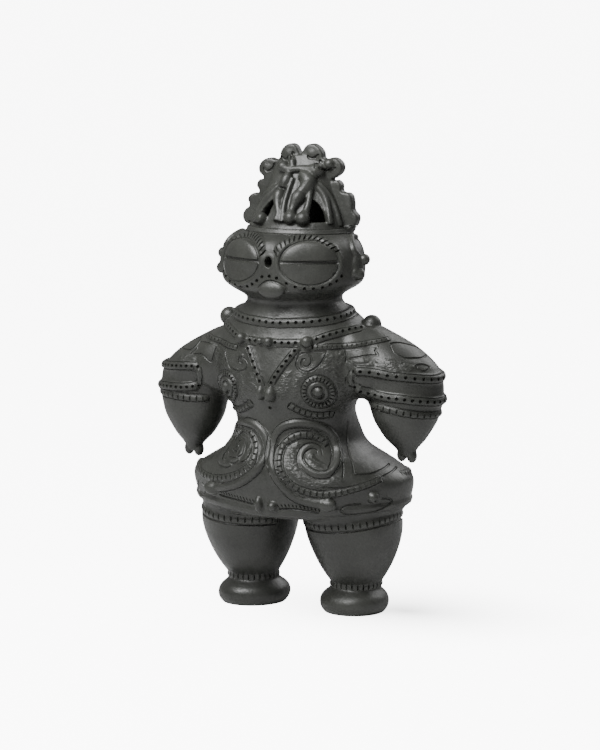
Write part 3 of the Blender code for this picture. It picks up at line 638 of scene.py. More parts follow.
# Sleeves and cuffs.
# A raised frame round each upper arm, pricked along its long sides, and a notched cuff below it.
SLEEVE_EDGES = {
    1: (
        (((41.0, 128.4), (46.0, 128.7), (53.6, 127.9), (59.0, 127.1)),
         ((-76.0, 126.6), (-30.0, 125.0), (0.0, 124.6), (60.0, 126.0), (122.0, 128.4))),
        (((40.8, 120.2), (45.0, 117.6), (52.0, 116.4), (59.0, 115.6)),
         ((-76.0, 115.3), (-30.0, 113.6), (0.0, 113.0), (60.0, 114.2), (122.0, 116.4))),
    ),
    -1: (
        (((-48.1, 125.4), (-54.0, 125.4), (-59.0, 125.0)),
         ((-76.0, 124.6), (-30.0, 123.8), (0.0, 123.6), (60.0, 124.6), (122.0, 126.6))),
        (((-49.2, 115.0), (-54.0, 114.3), (-59.0, 113.7)),
         ((-76.0, 113.6), (-30.0, 112.9), (0.0, 112.6), (60.0, 113.4), (122.0, 115.0))),
    ),
}
SLEEVE_FRONT_ENDS = {
    1: ((41.0, 128.4), (39.2, 125.6), (39.0, 122.6), (40.8, 120.2)),
    -1: ((-48.1, 125.4), (-47.8, 120.2), (-49.2, 115.0)),
}
SLEEVE_BACK_END = 122.0
SLEEVE_END_STEPS = 8
SLEEVE_ROLL = (5.8, 0.9)
SLEEVE_END_ROLL = (4.6, 0.9)
CUFF = {1: (108.7, -0.17), -1: (108.4, 0.05)}
CUFF_REACH = 17.0
CUFF_INNER_END = 41
CUFF_ROLL = (4.2, 1.1)


def sleeve_edge(side, edge):
    """Spots along one long side of a sleeve: 0 its top, 1 its foot."""
    front, rows = SLEEVE_EDGES[side][edge]
    return on_front(front) + all_round(arm_middle(side), turned(evened(rows, 6), side))


def arm_middle(side):
    return (side * ARM_RINGS[8][1], -ARM_BACKSET)


def round_cuff(side):
    """Spots of the arm along its cuff, from the armpit round the outside to the armpit."""
    height, slope = CUFF[side]
    rows = []
    for angle in FULL_TURN:
        rows.append((angle - 180, height + slope * CUFF_REACH * math.cos(math.radians(angle - 180))))
    spots = all_round(arm_middle(side), turned(rows, side))
    return [spot for spot in spots if side * spot[0].x > CUFF_INNER_END * MM]


for side in (-1, 1):
    top, foot = sleeve_edge(side, 0), sleeve_edge(side, 1)
    for spots in (top, foot):
        lay_band("sleeve", spots, SLEEVE_ROLL)
    lay_band("sleeve_end", on_front(SLEEVE_FRONT_ENDS[side]), SLEEVE_END_ROLL)
    high, low = top[-1][0].z / MM, foot[-1][0].z / MM
    rows = [
        (SLEEVE_BACK_END, high + (low - high) * i / SLEEVE_END_STEPS) for i in range(SLEEVE_END_STEPS + 1)
    ]
    lay_band("sleeve_end", all_round(arm_middle(side), turned(rows, side)), SLEEVE_END_ROLL)
    lay_band("cuff", round_cuff(side), CUFF_ROLL)

# Belly and skirt.
# Two great flat coils run from knobs on the skirt round the belly, each with a notched hem inside it, and a
# notched hem crosses the back. A plain cord runs round the skirt's rim, with a ball and a clip in front.
LEFT_COIL = (
    (30.3, 61.2), (21.8, 62.2), (14.4, 65.4), (8.6, 71.4), (3.8, 78.6), (1.8, 86.0), (1.6, 91.4),
    (3.4, 96.8), (8.6, 100.4), (15.5, 101.2), (21.3, 100.0), (25.0, 97.4), (27.3, 93.8), (29.2, 89.4),
    (31.4, 85.4), (33.2, 81.2), (31.6, 77.6), (26.4, 76.9), (20.9, 79.5), (17.0, 83.9), (16.8, 88.0),
    (19.6, 89.9), (23.0, 88.5), (24.8, 85.0),
)
RIGHT_COIL = (
    (-33.9, 64.9), (-25.7, 66.4), (-15.6, 69.8), (-7.6, 75.2), (-3.4, 80.2), (-1.6, 85.6), (-2.4, 91.2),
    (-5.6, 96.0), (-11.2, 98.9), (-18.8, 99.2), (-25.0, 96.6), (-29.6, 91.2), (-32.4, 85.0), (-30.4, 79.6),
    (-24.4, 78.6), (-18.8, 82.0), (-17.6, 86.6), (-20.4, 88.6), (-23.6, 86.4),
)
LEFT_COIL_HEM = (
    (25.9, 89.8), (24.6, 92.8), (21.6, 94.8), (17.5, 95.5), (12.9, 94.8), (9.5, 92.9), (6.9, 90.0),
    (6.2, 86.6), (6.7, 82.1), (8.6, 77.4), (12.2, 73.1), (17.1, 69.6), (22.8, 67.4), (29.4, 66.4),
    (35.7, 66.9), (41.6, 68.6), (48.6, 71.2), (53.0, 73.6),
)
RIGHT_COIL_HEM = (
    (-27.0, 90.4), (-22.6, 95.0), (-17.0, 95.6), (-11.0, 92.4), (-8.0, 86.4), (-9.6, 79.6), (-16.1, 74.8),
    (-24.2, 71.7), (-33.3, 70.3), (-41.4, 71.0), (-49.0, 73.4), (-53.8, 74.6),
)
COIL_KNOBS = ((30.5, 61.0, 5.4, 3.4), (-34.2, 64.6, 5.4, 3.4), (50.1, 64.3, 3.4, 3.0))
SKIRT_BALL = (3.4, 59.3, 2.5, 2.5)
SKIRT_CLIP = (-4.3, 59.9, 2.3, 4.2)
KNOB_BULGE = 3.2
KNOB_CLEAR = 0.8
COIL_WIDTH = 5.6
COIL_SINK = 1.0
COIL_PITCH = 1.5
COIL_TIP = 0.4
COIL_TAPER = 0.35
COIL_HEM_ROLL = (4.6, 1.1)
BACK_HEM_HEIGHT = 74.0
BACK_HEM_SAG = 4.0
BACK_HEM_ROLL = (4.0, 1.1)
SKIRT_CORD_HEIGHT = 54.8
SKIRT_CORD_RISE = 3.6
SKIRT_CORD_ROLL = (7.0, 2.2)


def coil_swell(count):
    """A coil's share of its full width, from its knob to its inner end, where it tapers to a tip."""
    return [min(1.0, COIL_TIP + (1 - COIL_TIP) * (count - 1 - i) / (COIL_TAPER * count)) for i in range(count)]


back_hem_rows = [
    (angle, BACK_HEM_HEIGHT - BACK_HEM_SAG * math.sin(math.radians(angle)))
    for angle in FULL_TURN[:RING_SIDES // 2 + 1]
]
skirt_cord_rows = [
    (angle, SKIRT_CORD_HEIGHT + SKIRT_CORD_RISE * abs(math.cos(math.radians(angle)))) for angle in FULL_TURN
]
for coil in (LEFT_COIL, RIGHT_COIL):
    spots = spaced(on_front(coil), COIL_PITCH)
    laid_on.append(lay_roll("belly_coil", spots, COIL_WIDTH, COIL_SINK, swell=coil_swell(len(spots))))
for hem in (LEFT_COIL_HEM, RIGHT_COIL_HEM):
    lay_band("belly_hem", on_front(hem), COIL_HEM_ROLL)
for out, height, half_width, half_height in COIL_KNOBS + (SKIRT_BALL, SKIRT_CLIP):
    size = (half_width, KNOB_BULGE, half_height)
    press_bead("skirt_knob", front_spot(out, height)[0], size, KNOB_CLEAR)
lay_band("back_hem", all_round((0, 0), back_hem_rows), BACK_HEM_ROLL)
lay_band("skirt_cord", all_round((0, 0), skirt_cord_rows), SKIRT_CORD_ROLL, True)

# Leg hems and anklets.
# A band of clay under the skirt round each leg, and another where the leg meets its foot. Both are notched
# across later on.
LEG_HEM = ((-175.0, 47.2), (-90.0, 48.2), (0.0, 52.0), (90.0, 48.2), (175.0, 47.2))
LEG_HEM_INNER_END = 4
LEG_HEM_ROLL = (4.4, 1.4)
ANKLET = 14.2
ANKLET_ROLL = (3.8, 0.9)


def round_leg(side, drop=0.0):
    """Spots of the leg along its hem, or lower by a drop."""
    middle = (side * LEG_RINGS[7][3], LEG_RINGS[7][4])
    rows = [(angle, height - drop) for angle, height in turned(evened(LEG_HEM, 8), side)]
    return [spot for spot in all_round(middle, rows) if side * spot[0].x > LEG_HEM_INNER_END * MM]


def round_ankle(side):
    rows = [(angle, ANKLET) for angle in FULL_TURN]
    return all_round((side * LEG_RINGS[1][3], LEG_RINGS[1][4]), rows, LEG_RINGS[1][3])


for side in (-1, 1):
    lay_band("leg_hem", round_leg(side), LEG_HEM_ROLL)
    lay_band("anklet", round_ankle(side), ANKLET_ROLL, True)

# Pressing it all together.
# Every roll and ball is pressed home while the clay is soft, and its edges are smeared down with a wet
# brush, so that the figure is one skin without seams.
BRUSH = 0.45
BRUSH_PASSES = 2

take_up(*laid_on)
figure = joined("dogu")
work(figure, "REMESH", mode="VOXEL", voxel_size=BRUSH * MM)
work(figure, "SMOOTH", factor=0.5, iterations=BRUSH_PASSES)

# Nostril.
# One hole between the eyes, bored straight into the clay with a stick and a little taller than wide.
BORER = (2.1, 6.5, 2.9)


def cut_with(copies):
    """The figure without what these copies of a tool take out of it."""
    take_up(*copies)
    tool = joined("tool")
    work(figure, "BOOLEAN", operation="DIFFERENCE", object=tool, solver="MANIFOLD")
    bpy.data.objects.remove(tool)


cut_with([press_ball("borer", front_spot(*NOSTRIL)[0], BORER)])
skin = BVHTree.FromObject(figure, bpy.context.evaluated_depsgraph_get())

# Pricked dots.
# A blunt pointed stick is pushed into the clay along the collar, the necklace, the pendant and the sleeves,
# under the eyes, and once on the belly.
STICK = (0.95, 0.95, 1.8)
FACE_DOTS = (
    (-31.8, 175.6), (-29.4, 173.4), (-25.6, 171.4), (-21.3, 170.0), (-17.3, 169.4), (-13.1, 169.9),
    (-9.8, 171.3), (-6.9, 173.3), (-3.9, 175.4), (0.3, 175.9), (4.3, 175.1), (9.6, 172.6), (14.2, 171.0),
    (18.5, 170.2), (22.6, 170.1), (26.5, 170.8), (29.6, 172.2), (31.9, 173.9), (33.6, 176.2),
)
BELLY_DOT = (0.0, 108.9)
COLLAR_DOTS = 4.1
NECKLACE_DOTS = 3.6
PENDANT_DOTS = 3.5
SLEEVE_DOTS = {1: (4.7, 4.1), -1: (3.4, 3.4)}


def shape_tool(name, size):
    """The round end of a modelling tool, of three half sizes in mm."""
    bpy.ops.object.select_all(action="DESELECT")
    bpy.ops.mesh.primitive_ico_sphere_add(subdivisions=2, radius=1.0, scale=[value * MM for value in size])
    tool = bpy.context.object
    tool.name = name
    bpy.ops.object.transform_apply(location=False, rotation=False, scale=True)
    return tool


def press_tool(tool, spot, inward, along=None):
    """A copy of a tool at a spot, its Z inward and its X along a direction."""
    copy = tool.copy()
    copy.data = tool.data.copy()
    bpy.context.collection.objects.link(copy)
    facing = inward.to_track_quat("Z", "Y").to_matrix().to_4x4()
    if along:
        z = inward.normalized()
        y = z.cross(along).normalized()
        x = y.cross(z)
        facing = Matrix((x, y, z)).transposed().to_4x4()
    copy.matrix_world = Matrix.Translation(spot) @ facing
    return copy


def clear_of_beads(spot):
    return all((spot - bead).length > radius * MM for bead, radius in beads)


stick = shape_tool("stick", STICK)
pricked = on_front(FACE_DOTS, 1) + [front_spot(*BELLY_DOT)]
pricked += spaced(all_round((0, -COLLAR_FORWARD), collar_rows), COLLAR_DOTS, True)
pricked += spaced(on_front(both_sides(NECKLACE)), NECKLACE_DOTS)
for side in (-1, 1):
    pricked += spaced(on_front(PENDANTS[side]), PENDANT_DOTS)[1:]
    for edge in (0, 1):
        pricked += spaced(sleeve_edge(side, edge), SLEEVE_DOTS[side][edge])
cut_with([press_tool(stick, spot, -normal) for spot, normal in pricked if clear_of_beads(spot)])
bpy.data.objects.remove(stick)

# Notches.
# The brows, rosettes, hems, cuffs and anklets are notched across with the edge of a thin slat.
SLAT = (0.52, 2.0, 1.0)
WHOLE = (1.0, 1.0, 1.0)
# How far apart the notches are, and the share of the slat that goes in.
BROW_NOTCHES = (2.7, (1.0, 1.35, 1.3))
BROW_SLANT = math.radians(-28)
ROSETTE_NOTCHES = (1.9, (0.85, 0.75, 1.0))
BREAST_NOTCHES = (3.4, WHOLE)
CUFF_NOTCHES = (3.6, WHOLE)
LEG_HEM_NOTCHES = (3.7, WHOLE)
ANKLET_NOTCHES = (3.0, WHOLE)
SHOULDER_NOTCHES = (2.6, (0.85, 0.7, 0.8))
COIL_HEM_NOTCHES = (3.2, (1.2, 1.1, 1.0))
BACK_HEM_NOTCHES = (3.4, WHOLE)
SLITS = (
    ((-30.3, 61.8), (-17.3, 60.5), (-7.6, 59.4)),
    ((6.4, 58.0), (12.4, 58.4), (20.3, 57.9), (27.3, 56.8)),
)
SLIT_COMB = 1.6
COMB_NOTCHES = (1.9, (0.7, 0.6, 0.8))
COMB_SLANT = math.radians(30)


def notch_along(spots, notches, slant=0.0, closed=False):
    """Copies of the slat across a band, so far apart, at a share of the slat's size, leaning by slant."""
    pitch, share = notches
    spots = spaced(spots, pitch, closed)
    copies = []
    for i, (spot, normal) in enumerate(spots):
        ahead = spots[min(i + 1, len(spots) - 1)][0] - spots[max(i - 1, 0)][0]
        ahead.rotate(Matrix.Rotation(slant, 3, normal))
        copy = press_tool(slat, spot, -normal, ahead)
        copy.scale = share
        copies.append(copy)
    return copies


slat = shape_tool("slat", SLAT)
notched = []
for side in (-1, 1):
    notched += notch_along(on_front(mirrored(BROW, side)), BROW_NOTCHES, side * BROW_SLANT)
    notched += notch_along(round_rosette(side, ROSETTE_RINGS[0][0]), ROSETTE_NOTCHES, closed=True)
    notched += notch_along(on_front(mirrored(BREAST_HEM, side)), BREAST_NOTCHES)
    notched += notch_along(round_cuff(side), CUFF_NOTCHES)
    notched += notch_along(round_leg(side), LEG_HEM_NOTCHES)
    notched += notch_along(round_ankle(side), ANKLET_NOTCHES, closed=True)
for path in SHOULDER_BANDS:
    notched += notch_along(on_front(path), SHOULDER_NOTCHES)
for path in SLITS:
    above = [(out, height + SLIT_COMB) for out, height in path]
    notched += notch_along(on_front(above), COMB_NOTCHES, COMB_SLANT)
for hem in (LEFT_COIL_HEM, RIGHT_COIL_HEM):
    notched += notch_along(on_front(hem), COIL_HEM_NOTCHES)
notched += notch_along(all_round((0, 0), back_hem_rows), BACK_HEM_NOTCHES)
cut_with(notched)
bpy.data.objects.remove(slat)

# Incised lines.
# Eye slits and outlines, the hooks of the scrolls, the curls and leaves on chest and shoulders and the lines
# beside the coils are drawn with a bone point, which leaves a round groove.
BONE = 1.5
LINE_PITCH = 0.8
LINE_GRAIN = 0.3
EYE_SLIT_REACH = 15.0
EYE_SLIT_RISE = 0.4
EYE_SLIT_STEPS = 24
EYE_SLIT = (1.0, 2.3, 0.3)
EYE_OUTLINE_SPREAD = 0.3
EYE_OUTLINE = (1.2, 1.2)
SKIRT_SLIT = (1.0, 1.5, 0.3)
EDGE_ROLL = (1.1, 0.1)
# How far apart the points of a band's two edge grooves are, and how far they lie from its middle line.
COLLAR_EDGES = (1.6, 2.7)
NECKLACE_EDGES = (1.6, 2.4)
BRIM_EDGES = (1.6, 2.2)
SHOULDER_EDGES = (1.6, 1.6)
COIL_EDGE_PITCH = 1.2
COIL_EDGE_GAP = 0.1
COIL_HEM_EDGES = (1.6, 2.2)
PENDANT_EDGES = (1.6, 2.3)
BREAST_EDGES = (1.6, 2.0)
SLEEVE_EDGE_LINES = (1.8, 2.9)
SLEEVE_END_EDGES = (1.2, 2.3)
CUFF_EDGES = (1.8, 2.2)
ROSETTE_LINES = (9.3, 6.0, 3.2)
ROSETTE_LINE = (1.0, 1.0)
LEG_LINE_DROP = 2.6
LEG_LINE_PITCH = 1.6
HOOKS = (
    ((-10.8, 233.6), (-9.0, 232.1), (-6.8, 232.3), (-5.4, 234.2)),
    ((-4.2, 236.4), (-2.9, 233.9), (-2.9, 232.2)),
    ((4.4, 234.6), (6.0, 233.2), (8.6, 233.4), (11.0, 235.4)),
    ((-20.6, 227.7), (-19.2, 225.7), (-17.1, 225.9), (-14.9, 227.6), (-13.9, 230.4)),
    ((13.4, 229.6), (14.8, 228.0), (18.2, 227.7), (20.9, 228.9)),
    ((11.9, 232.8), (11.6, 230.4), (12.2, 228.2)),
)
HOOK_WIDTH = 1.9
LINES = (
    ((-6.2, 169.6), (-3.2, 172.2), (0.5, 173.6), (4.8, 172.8), (8.4, 171.0), (10.2, 168.6)),
    ((13.9, 133.4), (14.8, 130.8), (16.7, 128.9), (20.5, 128.3), (24.8, 131.1), (27.0, 135.0), (28.2, 138.6)),
    ((14.6, 133.4), (15.4, 136.4), (18.4, 137.4), (21.0, 135.6), (21.5, 132.6), (19.4, 130.6), (17.0, 131.8),
     (17.3, 134.2), (19.0, 134.3)),
    ((19.6, 138.2), (24.2, 138.0), (28.0, 138.6)),
    ((-30.3, 135.9), (-27.1, 129.4), (-20.8, 126.4), (-14.1, 127.3), (-12.8, 129.9), (-14.6, 132.7),
     (-18.1, 133.4), (-18.5, 130.9), (-15.7, 130.7)),
    ((35.4, 139.0), (36.8, 136.0), (36.6, 132.9), (39.4, 134.8), (42.9, 135.7), (47.6, 136.6), (52.2, 136.8),
     (50.4, 139.0), (50.7, 141.0), (43.0, 139.7), (35.4, 139.0)),
    ((-36.7, 137.4), (-38.0, 133.2), (-39.8, 128.4), (-46.0, 131.7), (-53.4, 131.1), (-50.8, 134.2),
     (-50.0, 137.2), (-43.0, 137.6), (-36.7, 137.4)),
    ((45.4, 61.2), (40.5, 60.9), (37.8, 59.5), (37.4, 57.6), (40.0, 56.2), (46.3, 56.4), (51.4, 57.4),
     (55.0, 59.6), (55.6, 61.9), (54.0, 63.2), (51.6, 62.6)),
    ((-47.8, 66.4), (-49.3, 61.9), (-47.0, 58.8), (-42.6, 59.8), (-42.1, 63.4), (-44.2, 66.1)),
    ((-25.8, 95.7), (-20.0, 95.9), (-15.6, 94.6), (-11.5, 90.1), (-11.1, 84.5), (-14.2, 80.5), (-20.3, 78.9),
     (-25.6, 79.8), (-29.4, 82.4)),
    ((-23.2, 92.2), (-17.0, 89.5), (-15.7, 85.0), (-18.7, 82.0), (-24.9, 81.4), (-28.1, 83.7)),
    ((-22.4, 88.4), (-20.2, 86.2), (-21.6, 84.2), (-25.2, 84.8)),
)
TOP_LINES = (
    ((56.0, -14.0), (59.7, -16.6), (65.4, -14.6), (70.0, -7.0), (69.4, 0.5), (65.7, 1.5), (61.6, -5.0),
     (58.0, -10.0), (56.0, -14.0)),
    ((69.9, -14.0), (72.2, -9.6), (74.8, -6.6), (74.2, -11.0), (71.8, -13.6), (69.9, -14.0)),
    ((-62.1, -15.4), (-55.5, -19.0), (-51.8, -18.0), (-51.4, -14.0), (-57.7, -10.4), (-61.4, -12.0),
     (-62.1, -15.4)),
)
FLANK_LINES = (
    ((-19.0, 101.0), (-19.5, 96.0), (-21.0, 90.9), (-27.0, 83.2), (-31.8, 76.5)),
    ((-31.8, 76.0), (-22.0, 75.9), (-12.4, 76.9), (2.0, 78.4)),
    ((-35.0, 82.0), (-39.4, 74.5)),
    ((-51.8, 70.4), (-42.3, 69.6), (-30.7, 70.9), (-18.2, 73.8), (4.0, 76.6)),
)


def score(spots, pitch=LINE_PITCH, width=BONE, sink=0.0, closed=False):
    """A groove along these spots: how far apart its points are, its width and how deep its middle lies."""
    return lay_roll("groove", spaced(spots, pitch, closed), width, sink, closed)


def on_top(path):
    """Spots of the skin under a path of sideways and forward place on the shoulders."""
    spots = []
    for out, back in evened(path, 6):
        hit = skin.ray_cast(Vector((out, back, IN_FRONT)) * MM, Vector((0, 0, -1)))
        if hit[0]:
            spots.append((hit[0], hit[1]))
    return spots


def clear_runs(spots):
    """The runs of these spots that lie clear of every bead."""
    runs = [[]]
    for spot in spots:
        if clear_of_beads(spot[0]):
            runs[-1].append(spot)
        elif runs[-1]:
            runs.append([])
    return [run for run in runs if len(run) > 2]


def edges(spots, pitch, reach, closed=False):
    """Grooves along both edges of a band, at a reach from its middle line that may follow its swell."""
    spots = spaced(spots, pitch, closed)
    reaches = reach(len(spots)) if callable(reach) else [reach] * len(spots)
    lines = []
    for way in (-1, 1):
        line = []
        for i, (spot, normal) in enumerate(spots):
            ahead = spots[min(i + 1, len(spots) - 1)][0] - spots[max(i - 1, 0)][0]
            aside = normal.cross(ahead).normalized() * way * reaches[i] * MM
            line.append(skin.find_nearest(spot + aside)[:2])
        for run in [line] if closed else clear_runs(line):
            lines.append(lay_roll("groove", run, *EDGE_ROLL, closed))
    return lines


def coil_reaches(count):
    return [COIL_WIDTH / 2 * share + COIL_EDGE_GAP for share in coil_swell(count)]


grooves = [score(on_front(line), width=HOOK_WIDTH) for line in HOOKS]
grooves += [score(on_front(line)) for line in LINES]
grooves += [score(on_top(line)) for line in TOP_LINES]
grooves += [score(all_round((0, 0), evened(line, 6))) for line in FLANK_LINES]
grooves += [score(on_front(path), *SKIRT_SLIT) for path in SLITS]
grooves += edges(all_round((0, -COLLAR_FORWARD), collar_rows), *COLLAR_EDGES, closed=True)
grooves += edges(on_front(both_sides(NECKLACE)), *NECKLACE_EDGES)
grooves += edges(all_round((0, 0), brim_rows), *BRIM_EDGES, closed=True)
for path in SHOULDER_BANDS:
    grooves += edges(on_front(path), *SHOULDER_EDGES)
for coil in (LEFT_COIL, RIGHT_COIL):
    grooves += edges(on_front(coil), COIL_EDGE_PITCH, coil_reaches)
for hem in (LEFT_COIL_HEM, RIGHT_COIL_HEM):
    grooves += edges(on_front(hem), *COIL_HEM_EDGES)
for side in (-1, 1):
    grooves += edges(on_front(PENDANTS[side]), *PENDANT_EDGES)
    grooves += edges(on_front(mirrored(BREAST_HEM, side)), *BREAST_EDGES)
    for edge in (0, 1):
        grooves += edges(sleeve_edge(side, edge), *SLEEVE_EDGE_LINES)
    grooves += edges(on_front(SLEEVE_FRONT_ENDS[side]), *SLEEVE_END_EDGES)
    grooves += edges(round_cuff(side), *CUFF_EDGES)
    for radius in ROSETTE_LINES:
        grooves.append(score(round_rosette(side, radius), *ROSETTE_LINE, closed=True))
    grooves.append(score(round_eye(side, EYE_OUTLINE_SPREAD), *EYE_OUTLINE, closed=True))
    turn = Matrix.Rotation(side * EYE_TURN, 3, "Z")
    spots = []
    for i in range(EYE_SLIT_STEPS + 1):
        out = EYE_SLIT_REACH * (2 * i / EYE_SLIT_STEPS - 1)
        start = eye_middle(side) + turn @ Vector((out, -IN_FRONT, EYE_SLIT_RISE))
        spots.append(skin.ray_cast(start * MM, turn @ Vector((0, 1, 0)))[:2])
    grooves.append(score(spots, *EYE_SLIT))
    grooves.append(score(round_leg(side, LEG_LINE_DROP), LEG_LINE_PITCH))
take_up(*grooves)
bone = joined("bone")
work(bone, "REMESH", mode="VOXEL", voxel_size=LINE_GRAIN * MM)
cut_with([bone])

# Standing it on the board.
# The soles are rubbed flat, and the figure stands where its frame says.
KEPT_FACES = 194000
CREASE = math.radians(40)

work(figure, "TRIANGULATE")
work(figure, "DECIMATE", ratio=KEPT_FACES / len(figure.data.polygons))
low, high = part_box("dogu_figurine")
take_up(figure)
bpy.ops.object.mode_set(mode="EDIT")
bpy.ops.mesh.select_all(action="SELECT")
bpy.ops.mesh.bisect(plane_co=(0, 0, 0), plane_no=(0, 0, -1), use_fill=True, clear_outer=True)
bpy.ops.mesh.select_all(action="SELECT")
bpy.ops.object.mode_set(mode="OBJECT")
corners = [vertex.co for vertex in figure.data.vertices]
shift = [(low[i] + high[i] - min(c[i] for c in corners) - max(c[i] for c in corners)) / 2 for i in (0, 1)]
bpy.ops.object.mode_set(mode="EDIT")
bpy.ops.transform.translate(value=(shift[0], shift[1], 0))
bpy.ops.mesh.quads_convert_to_tris()
bpy.ops.object.mode_set(mode="OBJECT")
bpy.ops.object.shade_smooth_by_angle(angle=CREASE)

# Cord marks.
# Between the bands on the shoulders, round the breasts and inside the coils the clay was rolled with a cord,
# which left small slanting dents.
CORD_FIELDS = (
    (44.0, 131.5, 7.0, 3.2), (31.0, 134.0, 4.5, 5.5), (62.0, 131.5, 9.0, 3.6), (26.0, 118.0, 13.5, 13.0),
    (8.0, 122.0, 4.0, 8.0), (-24.0, 118.0, 11.0, 13.0), (-33.0, 131.0, 5.0, 6.0), (-24.0, 134.0, 8.0, 3.5),
    (-56.0, 128.6, 6.0, 1.8), (-8.0, 120.0, 3.6, 6.0), (16.5, 80.0, 10.0, 15.0), (28.0, 73.0, 10.0, 3.5),
    (-14.0, 87.0, 7.0, 9.0),
)
FIELD_EDGE = (1.15, 3.0)
KEPT_SMOOTH = 3.1
SMOOTH_FADE = 0.8
ROSETTE_MIDDLES = (0.5, 4.0, 7.6)

bands = [collar, on_front(both_sides(NECKLACE))] + [on_front(path) for path in SHOULDER_BANDS]
bands += [on_front(coil) for coil in (LEFT_COIL, RIGHT_COIL, LEFT_COIL_HEM, RIGHT_COIL_HEM)]
for side in (-1, 1):
    bands += [on_front(PENDANTS[side]), on_front(mirrored(BREAST_HEM, side)), sleeve_edge(side, 0)]
    bands += [round_rosette(side, radius) for radius in ROSETTE_MIDDLES]
smooth_spots = [spot + Vector((shift[0], shift[1], 0)) for band in bands for spot, _ in band]
near = KDTree(len(smooth_spots))
for i, spot in enumerate(smooth_spots):
    near.insert(spot, i)
near.balance()
marked = figure.data.attributes.new("cord_marked", "FLOAT", "POINT")
for i, vertex in enumerate(figure.data.vertices):
    share = 0.0
    if vertex.co.y < 0:
        for out, height, half_width, half_height in CORD_FIELDS:
            aside, above = vertex.co.x / MM - out, vertex.co.z / MM - height
            reach = math.hypot(aside / half_width, above / half_height)
            share = max(share, min(1.0, FIELD_EDGE[1] * (FIELD_EDGE[0] - reach)))
    if share > 0:
        away = near.find(vertex.co)[2] / MM
        share *= max(0.0, min(1.0, (away - KEPT_SMOOTH) / SMOOTH_FADE))
    marked.data[i].value = share

# Finish.
# Fine clay fired black in smoke and burnished by hand: dark charcoal with a faint warm green in the light,
# a soft sheen where it was rubbed, and the grain of the clay all over.
CLAY_TINTS = (
    (0.3, (0.0200, 0.0208, 0.0183)), (0.55, (0.0275, 0.0288, 0.0250)), (0.75, (0.0370, 0.0384, 0.0336)),
)
SHEENS = ((0.3, (0.32,) * 3), (0.7, (0.5,) * 3))
CLAY_SHINE = 0.45
# The scale and detail of each noise, and for the finest its roughness.
CLOUDS = (38.0, 4.0)
RUBBED = (95.0, 5.0)
CLAY_GRAIN = (900.0, 6.0, 0.7)
THUMB_MARKS = (120.0, 3.0)
# How strong each relief is, and how deep in metres.
GRAIN_RELIEF = (0.22, 0.0006)
THUMB_RELIEF = (0.35, 0.0012)
CORD_RELIEF = (0.75, 0.0016)
CORD_LEAN = math.radians(35)
CORD_STRANDS = (330.0, 330.0, 720.0)

clay = bpy.data.materials.new("black_clay")
clay.use_nodes = True
nodes, links = clay.node_tree.nodes, clay.node_tree.links
shader = nodes["Principled BSDF"]
shader.inputs["Specular IOR Level"].default_value = CLAY_SHINE
place = nodes.new("ShaderNodeTexCoord")


def grain(scale, detail, roughness=0.6):
    """Cloudy noise on the object's own coordinates, in metres."""
    noise = nodes.new("ShaderNodeTexNoise")
    noise.inputs["Scale"].default_value = scale
    noise.inputs["Detail"].default_value = detail
    noise.inputs["Roughness"].default_value = roughness
    links.new(place.outputs["Object"], noise.inputs["Vector"])
    return noise


def ramp(source, stops):
    """Colours or greys over a value, at the given stops."""
    colours = nodes.new("ShaderNodeValToRGB")
    while len(colours.color_ramp.elements) < len(stops):
        colours.color_ramp.elements.new(1.0)
    for element, (at, colour) in zip(colours.color_ramp.elements, stops):
        element.position = at
        element.color = (*colour, 1.0)
    links.new(source, colours.inputs["Fac"])
    return colours


def relief(height, strength, depth, under=None):
    """Low relief from a value, so deep in metres, laid over another relief."""
    bump = nodes.new("ShaderNodeBump")
    bump.inputs["Strength"].default_value = strength
    bump.inputs["Distance"].default_value = depth
    links.new(height, bump.inputs["Height"])
    if under is not None:
        links.new(under, bump.inputs["Normal"])
    return bump.outputs["Normal"]


clouds = grain(*CLOUDS)
tint = ramp(clouds.outputs["Fac"], CLAY_TINTS)
links.new(tint.outputs["Color"], shader.inputs["Base Color"])
rubbed = grain(*RUBBED)
sheen = ramp(rubbed.outputs["Fac"], SHEENS)
links.new(sheen.outputs["Color"], shader.inputs["Roughness"])
fine = relief(grain(*CLAY_GRAIN).outputs["Fac"], *GRAIN_RELIEF)
thumbed = relief(grain(*THUMB_MARKS).outputs["Fac"], *THUMB_RELIEF, fine)
cord_place = nodes.new("ShaderNodeMapping")
cord_place.inputs["Rotation"].default_value = (0, CORD_LEAN, 0)
cord_place.inputs["Scale"].default_value = CORD_STRANDS
links.new(place.outputs["Object"], cord_place.inputs["Vector"])
cord = nodes.new("ShaderNodeTexNoise")
cord.inputs["Scale"].default_value = 1.0
cord.inputs["Detail"].default_value = 2.0
links.new(cord_place.outputs["Vector"], cord.inputs["Vector"])
field = nodes.new("ShaderNodeAttribute")
field.attribute_name = "cord_marked"
dents = nodes.new("ShaderNodeMath")
dents.operation = "MULTIPLY"
links.new(cord.outputs["Fac"], dents.inputs[0])
links.new(field.outputs["Fac"], dents.inputs[1])
links.new(relief(dents.outputs["Value"], *CORD_RELIEF, thumbed), shader.inputs["Normal"])
figure.data.materials.clear()
figure.data.materials.append(clay)
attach(figure, "root")
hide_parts("dogu_figurine")

# Floor.
# A sheet of white paper under the figure, which the camera sees almost burnt out, with a painted shadow beside
# the feet.
PAPER_WHITE = 0.68
PAPER_GLOW = 8.5
PAPER_DULLNESS = 0.9
# Where the painted shadow of the figure lies on the floor, how far it reaches, and the share of the glow left
# at its middle.
PAINTED_SHADOW_AT = (0.055, 0.01, 0.0)
PAINTED_SHADOW_REACH = (0.13, 0.09, 0.1)
PAINTED_SHADOW_SHARE = 0.25

